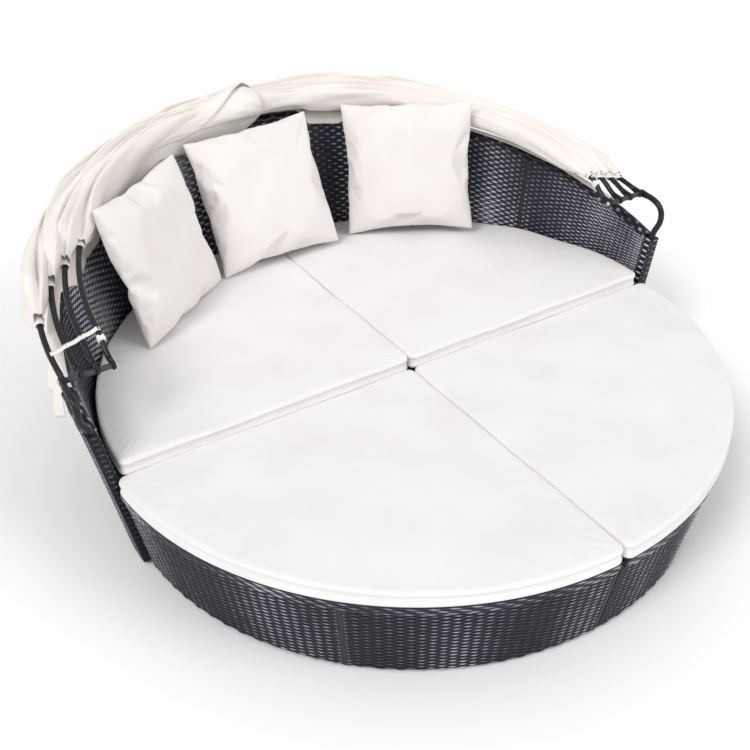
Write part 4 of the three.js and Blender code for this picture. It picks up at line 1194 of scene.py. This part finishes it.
def roll():
    """The front of the cloth, rolled and twisted over the middle of the back: fat at its blunt right end."""
    every = np.linspace(0.2, 0.8, 601)
    stations_x = np.linspace(-roll_start, -roll_stop, roll_count)
    shares = np.interp(stations_x, -bow_point(front_bow, every)[:, 0], every)
    points, outward, run = bow_frame(front_bow, shares)
    place = run / run[-1]
    body = np.interp(place, roll_place_shares, roll_body_shares)
    coil = np.linspace(0, 1, roll_steps)
    turn = 2 * math.pi * roll_turns * coil - 0.6 * math.pi
    twist = turn[None, :] + roll_twist * place[:, None]
    folds = 1 + 0.04 * waves(run[:, None] + 0.03 * np.cos(twist), 0.3 * np.sin(twist), 91, low=3, high=9)
    folds = folds + 0.07 * np.sin(3 * turn[None, :] + 9 * place[:, None])
    radius = body[:, None] * folds * lerp(roll_core_share, 1, coil)[None, :]
    across = roll_depth * radius * np.cos(twist)
    up = roll_height * radius * np.sin(twist) + (roll_lift * body)[:, None]
    grid = beside_bow(points, outward, across, up)
    piece = cloth_piece("canopy_roll", grid, "bow_front", (mean_width(grid), mean_length(grid)))
    press_flat(piece, front_bow)


def round_rim(foot, turn):
    """How far out and how high the drape lies at a turn round the rim."""
    out = (rim_half_width + drape_gap) * np.cos(turn)
    up = (rim_depth + drape_gap) * np.sin(turn)
    return shell_middle(foot) + out, foot + up


def drape():
    """The cloth's rear edge over the rim: a wavy tail outside and a flap inside."""
    share = np.linspace(drape_start_share, drape_stop_share, drape_count)
    bearing = wall_bearing(share, shell_middle(arm_height), sofa_edge, math.pi)
    run = share * math.pi * shell_middle(back_height)
    from_end = np.minimum(share - drape_start_share, drape_stop_share - share)
    end_close = smoothstep(from_end, -0.004, 0.02)
    foot = rim_height(bearing) - rim_depth
    left = smoothstep(share, 0.55, 0.95)
    drop = tail_drop * (0.8 + 0.14 * drift(run, 3, 1.2, 0.3) + 0.5 * left) * lerp(0.5, 1, end_close)
    wave = tail_wave * (0.9 + 0.9 * drift(run, 4, 0.4, 0.09) + 0.9 * left * drift(run, 14, 0.12, 0.05))
    wave = np.clip(wave, 1 * MM, 2.6 * tail_wave)
    rows = []
    for down in np.linspace(1, 0.04, tail_rows):
        radius = shell_outer(foot - drop * down) + tail_stand_off
        radius = radius + tail_plumb_share * drop * down + wave * down ** 0.8
        rows.append(polar(radius, bearing, foot - drop * down))
    wrap = np.pi * np.interp(share, flap_shares, flap_wrap_shares) * (1 + 0.03 * drift(run, 7, 0.5, 0.15))
    for turn in np.linspace(0, 1, wrap_rows)[:, None] * wrap[None, :]:
        radius, height = round_rim(foot, turn)
        rows.append(polar(radius, bearing, height))
    edge_radius, edge_height = round_rim(foot, wrap)
    inner_drop = np.interp(share, flap_shares, flap_drops) * MM * (1 + 0.14 * drift(run, 8, 0.9, 0.15))
    for down in np.linspace(0.1, 1, flap_rows):
        ripple = (1 + drift(run, 9, 0.2, 0.05)) * flap_ripple * down
        ripple = ripple * smoothstep(inner_drop, 2 * MM, 12 * MM)
        radius = edge_radius - flare * inner_drop * down - ripple
        rows.append(polar(radius, bearing, edge_height - inner_drop * down))
    grid = np.array(rows)
    piece = cloth_piece("canopy_drape", grid, "sofa", (mean_length(grid), mean_width(grid)))
    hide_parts("canopy_rim_drape")


def strap(order, side):
    """A webbing strap that keeps two bars apart at the cloth's end."""
    share = strap_share if side > 0 else 1 - strap_share
    ends = []
    for number in (order - 1, order):
        point = bow_point(number, np.array([share]))[0]
        ends.append(point + (bow_radius + strap_thickness) * rise_direction)
    place = np.linspace(-strap_overrun_share, 1 + strap_overrun_share, strap_points)[:, None]
    hang = np.sin(math.pi * np.clip(place, 0, 1)) + (np.abs(place - 0.5) > 0.5)
    path = lerp(ends[0], ends[1], place) - strap_sag * hang * rise_direction
    half = strap_width / 2 * depth_direction
    grid = np.stack([path - half, path, path + half], axis=1)
    name = f"canopy_strap_{order}_{side_word(side)}"
    faces = grid_faces(*grid.shape[:2])
    piece = make_piece(name, grid, faces, None, canopy_cloth, strap_thickness)
    span_bows(piece, order)
    mean_length(grid)


def tab(side):
    """A small square of folded webbing round the front bar."""
    share = tab_share if side > 0 else 1 - tab_share
    centre = bow_point(front_bow, np.array([share]))[0]
    across, up = squared(np.linspace(0, 2 * math.pi, tab_points, endpoint=False), tab_squareness)
    section = across[:, None] * np.array([1.0, 0, 0]) + up[:, None] * rise_direction
    rings = []
    for along, size in tab_ring_shares:
        middle = centre + along * tab_length * depth_direction
        rings.append(middle + size * (bow_radius + tab_gap) * section)
    name = "canopy_tab_" + side_word(side)
    faces = loft_faces(len(rings), tab_points)
    make_piece(name, np.array(rings), faces, "bow_front", canopy_cloth)


drape()
for side in (-1, 1):
    tab(side)
    for order in (1, 2, 3):
        strap(order, side)
for order in range(4):
    gathered_fold(order)
    sleeve(order)
for order, name in enumerate(("canopy_rear_roof", "canopy_middle_roof", "canopy_front_roof"), start=1):
    roof(order, name)
roll()


# Seat cushions
def wedge_outline(radius, inset, corner, count=64):
    """The outline of a quarter wedge with rounded corners, the same number of points at every inset."""
    near = inset + corner
    reach = radius - inset - corner
    far = math.sqrt(reach ** 2 - near ** 2)
    tip = math.asin(near / reach)
    steps = 8

    def arc(x, y, start, stop):
        turns = np.linspace(start, stop, steps + 1)
        return np.stack([x + corner * np.cos(turns), y + corner * np.sin(turns)], axis=1)

    def line(start, stop):
        shares = np.arange(1, count)[:, None] / count
        return lerp(np.array([start]), np.array([stop]), shares)

    turns = lerp(tip, math.pi / 2 - tip, np.arange(1, 2 * count) / (2 * count))
    rim_arc = (radius - inset) * np.stack([np.cos(turns), np.sin(turns)], axis=1)
    return np.concatenate([
        arc(near, near, math.pi, 1.5 * math.pi), line((near, inset), (far, inset)),
        arc(far, near, 1.5 * math.pi, 2 * math.pi + tip), rim_arc,
        arc(near, far, math.pi / 2 - tip, math.pi), line((inset, far), (inset, near)),
    ])


def wedge_rings(radius):
    """Rings of a wedge cushion from its underside up, how many lie below the crown, and its top's middle."""
    body_height = cushion_thickness - cushion_crown
    levels = cushion_foot + [(cushion_pull, 0.5 * body_height)]
    levels += [(inset, body_height - below) for inset, below in cushion_shoulder]
    below_crown = len(levels)
    for share in cushion_crown_shares:
        inset = lerp(cushion_roll, cushion_crown_reach, share)
        levels.append((inset, body_height + cushion_crown * (1 - (1 - share) ** 2)))
    rings = []
    for inset, height in levels:
        corner = max(cushion_corner - cushion_corner_share * inset, cushion_least_corner)
        outline = wedge_outline(radius, cushion_gap + inset, corner)
        rings.append(np.concatenate([outline, np.full((len(outline), 1), height)], axis=1))
    middle = rings[-1].mean(axis=0)
    top = rings[-1]
    rings += [lerp(top, middle, share) for share in cushion_middle_shares]
    return np.array(rings), below_crown, middle


def turned(points, turns):
    """Turns points round the bed's upright axis by quarter turns."""
    angle = turns * math.pi / 2
    x = points[..., 0]
    y = points[..., 1]
    across = x * math.cos(angle) - y * math.sin(angle)
    along = x * math.sin(angle) + y * math.cos(angle)
    return stack(across, along, points[..., 2])


def wedge_cushion(name, node, radius, quarter, body):
    """A box cushion: flat below, sides drawn in, a welt round the top edge and a crowned top."""
    rings, below_crown, middle = wedge_rings(radius)
    sides = rings.shape[1]
    sag = cushion_sag * waves(rings[..., 0] * 1.3, rings[..., 1] * 1.3, 90 + quarter, low=1, high=3)
    half_height = 0.5 * (cushion_thickness - cushion_crown)
    rings[..., 2] += sag * smoothstep(rings[..., 2], half_height, cushion_thickness)
    place = np.linspace(0, 1, sides, endpoint=False)
    uneven = 0.6 * waves(place, 0 * place, 95 + quarter, low=1, high=4)
    pull = np.sin(2 * math.pi * (cushion_puckers * place + uneven))
    near = np.zeros(len(rings))
    near[below_crown:] = np.interp(np.arange(len(rings) - below_crown), [0, 1.5, 5], [0.4, 1, 0])
    rings[..., 2] += cushion_pucker_depth * near[:, None] * pull[None, :]
    points = np.concatenate([rings.reshape(-1, 3), [middle]])
    faces = grid_faces(len(rings), sides, closed_columns=True)
    faces.append(tuple(reversed(range(sides))))
    last = (len(rings) - 1) * sides
    faces += [(last + j, last + (j + 1) % sides, len(points) - 1) for j in range(sides)]
    points = turned(points, quarter) + np.array([0, bed_y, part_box(node)[0].z])
    piece = make_piece(name, points, faces, body, cushion_cloth)
    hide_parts(node)


sofa_cushion_radius = shell_inner(sofa_top) - sofa_cushion_inset
ottoman_cushion_radius = cone_radius(ottoman_top) + ottoman_cushion_overhang
wedge_cushion("seat_pad_right", "seat_cushion_right", sofa_cushion_radius, 0, "sofa")
wedge_cushion("seat_pad_left", "seat_cushion_left", sofa_cushion_radius, 1, "sofa")
wedge_cushion("ottoman_pad_left", "ottoman_left_cushion", ottoman_cushion_radius, 2, "ottoman_left")
wedge_cushion("ottoman_pad_right", "ottoman_right_cushion", ottoman_cushion_radius, 3, "ottoman_right")


# Swelling by cloth simulation
def swell(points, faces):
    """Blows a closed cloth form up a little, as its filling does, and gives the points where they rest."""
    piece = make_piece("swelling", points, faces, None, pillow_cloth)
    cloth = piece.modifiers.new("cloth", "CLOTH")
    cloth.settings.use_pressure = True
    cloth.settings.uniform_pressure_force = pillow_pressure
    cloth.settings.effector_weights.gravity = 0
    cloth.settings.quality = 6
    cloth.settings.mass = 0.25
    cloth.settings.tension_stiffness = 25
    cloth.settings.compression_stiffness = 25
    cloth.settings.shear_stiffness = 8
    cloth.settings.bending_stiffness = 0.6
    cloth.settings.air_damping = 3
    cloth.point_cache.frame_start = 1
    cloth.point_cache.frame_end = pillow_frames
    scene = bpy.context.scene
    for number in range(1, pillow_frames + 1):
        scene.frame_set(number)
    shape = piece.evaluated_get(bpy.context.evaluated_depsgraph_get()).data
    swollen = np.empty(len(shape.vertices) * 3)
    shape.vertices.foreach_get("co", swollen)
    scene.frame_set(1)
    mesh = piece.data
    bpy.data.objects.remove(piece)
    bpy.data.meshes.remove(mesh)
    move = swollen.reshape(-1, 3) - points
    far = np.linalg.norm(move, axis=1)[:, None]
    return points + move * np.minimum(1, pillow_cap / np.maximum(far, 1e-9))


# Throw pillows
def pillow_form(seed, flat_share):
    """Points and faces of two squares of cloth sewn together round their edge."""
    half = pillow_width / 2
    spots = np.linspace(-1, 1, pillow_cells + 1)
    u, v = np.meshgrid(spots, spots, indexing="ij")
    x = half * u * (1 + pillow_bow_share * (1 - v ** 2))
    z = half * v * (1 + pillow_bow_share * (1 - u ** 2))
    swell_share = ((1 - u ** 2) * (1 - v ** 2)) ** pillow_swell_power
    y = pillow_thickness / 2 * swell_share * (1 + 0.05 * waves(u * 0.5, v * 0.5, seed, low=1, high=3))
    front = stack(x, y * flat_share, z)
    back = stack(x, -y * flat_share, z)
    row = pillow_cells + 1
    inner = np.zeros((row, row), bool)
    inner[1:-1, 1:-1] = True
    number = np.arange(row * row).reshape(row, row)
    other = number.copy()
    other[inner] = row * row + np.arange(inner.sum())
    number, other = number.tolist(), other.tolist()
    faces = []
    for i in range(pillow_cells):
        for j in range(pillow_cells):
            faces.append((number[i][j], number[i][j + 1], number[i + 1][j + 1], number[i + 1][j]))
            faces.append((other[i][j], other[i + 1][j], other[i + 1][j + 1], other[i][j + 1]))
    return np.concatenate([front.reshape(-1, 3), back[inner]]), faces


def throw_pillow(name, node, facing, lean, roll, seed):
    points, faces = pillow_form(seed, pillow_flat_share)
    points = swell(points, faces)
    low, high = points.min(axis=0), points.max(axis=0)
    scale = np.array([pillow_width, pillow_thickness, pillow_width]) / (high - low)
    points = (points - (low + high) / 2) * scale
    turn = Matrix.Rotation(math.radians(facing) - math.pi / 2, 4, "Z")
    turn = turn @ Matrix.Rotation(-math.radians(lean), 4, "X")
    turn = turn @ Matrix.Rotation(math.radians(roll), 4, "Y")
    low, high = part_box(node)
    points = points @ np.array(turn.to_3x3()).T + np.array((low + high) / 2)
    piece = make_piece(name, points, faces, "sofa", pillow_cloth)
    smooth = piece.modifiers.new("smooth", "SUBSURF")
    smooth.levels = 1
    smooth.render_levels = 1
    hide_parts(node)


throw_pillow("pillow_left", "throw_pillow_left", facing=126, lean=18, roll=0.5, seed=301)
throw_pillow("pillow_middle", "throw_pillow_middle", facing=89.5, lean=25.5, roll=-2, seed=302)
throw_pillow("pillow_right", "throw_pillow_right", facing=58, lean=14, roll=-2, seed=303)


# Materials of the CAD pieces that stay in sight
def repaint(word, shade):
    for name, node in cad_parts.items():
        if word in name and not node.hide_render:
            node.data.materials.clear()
            node.data.materials.append(shade)


for word in ("weave", "skirt", "side"):
    repaint(word, backing)
repaint("frame", powder_coat)
repaint("deck", backing)
repaint("foot", foot_plastic)
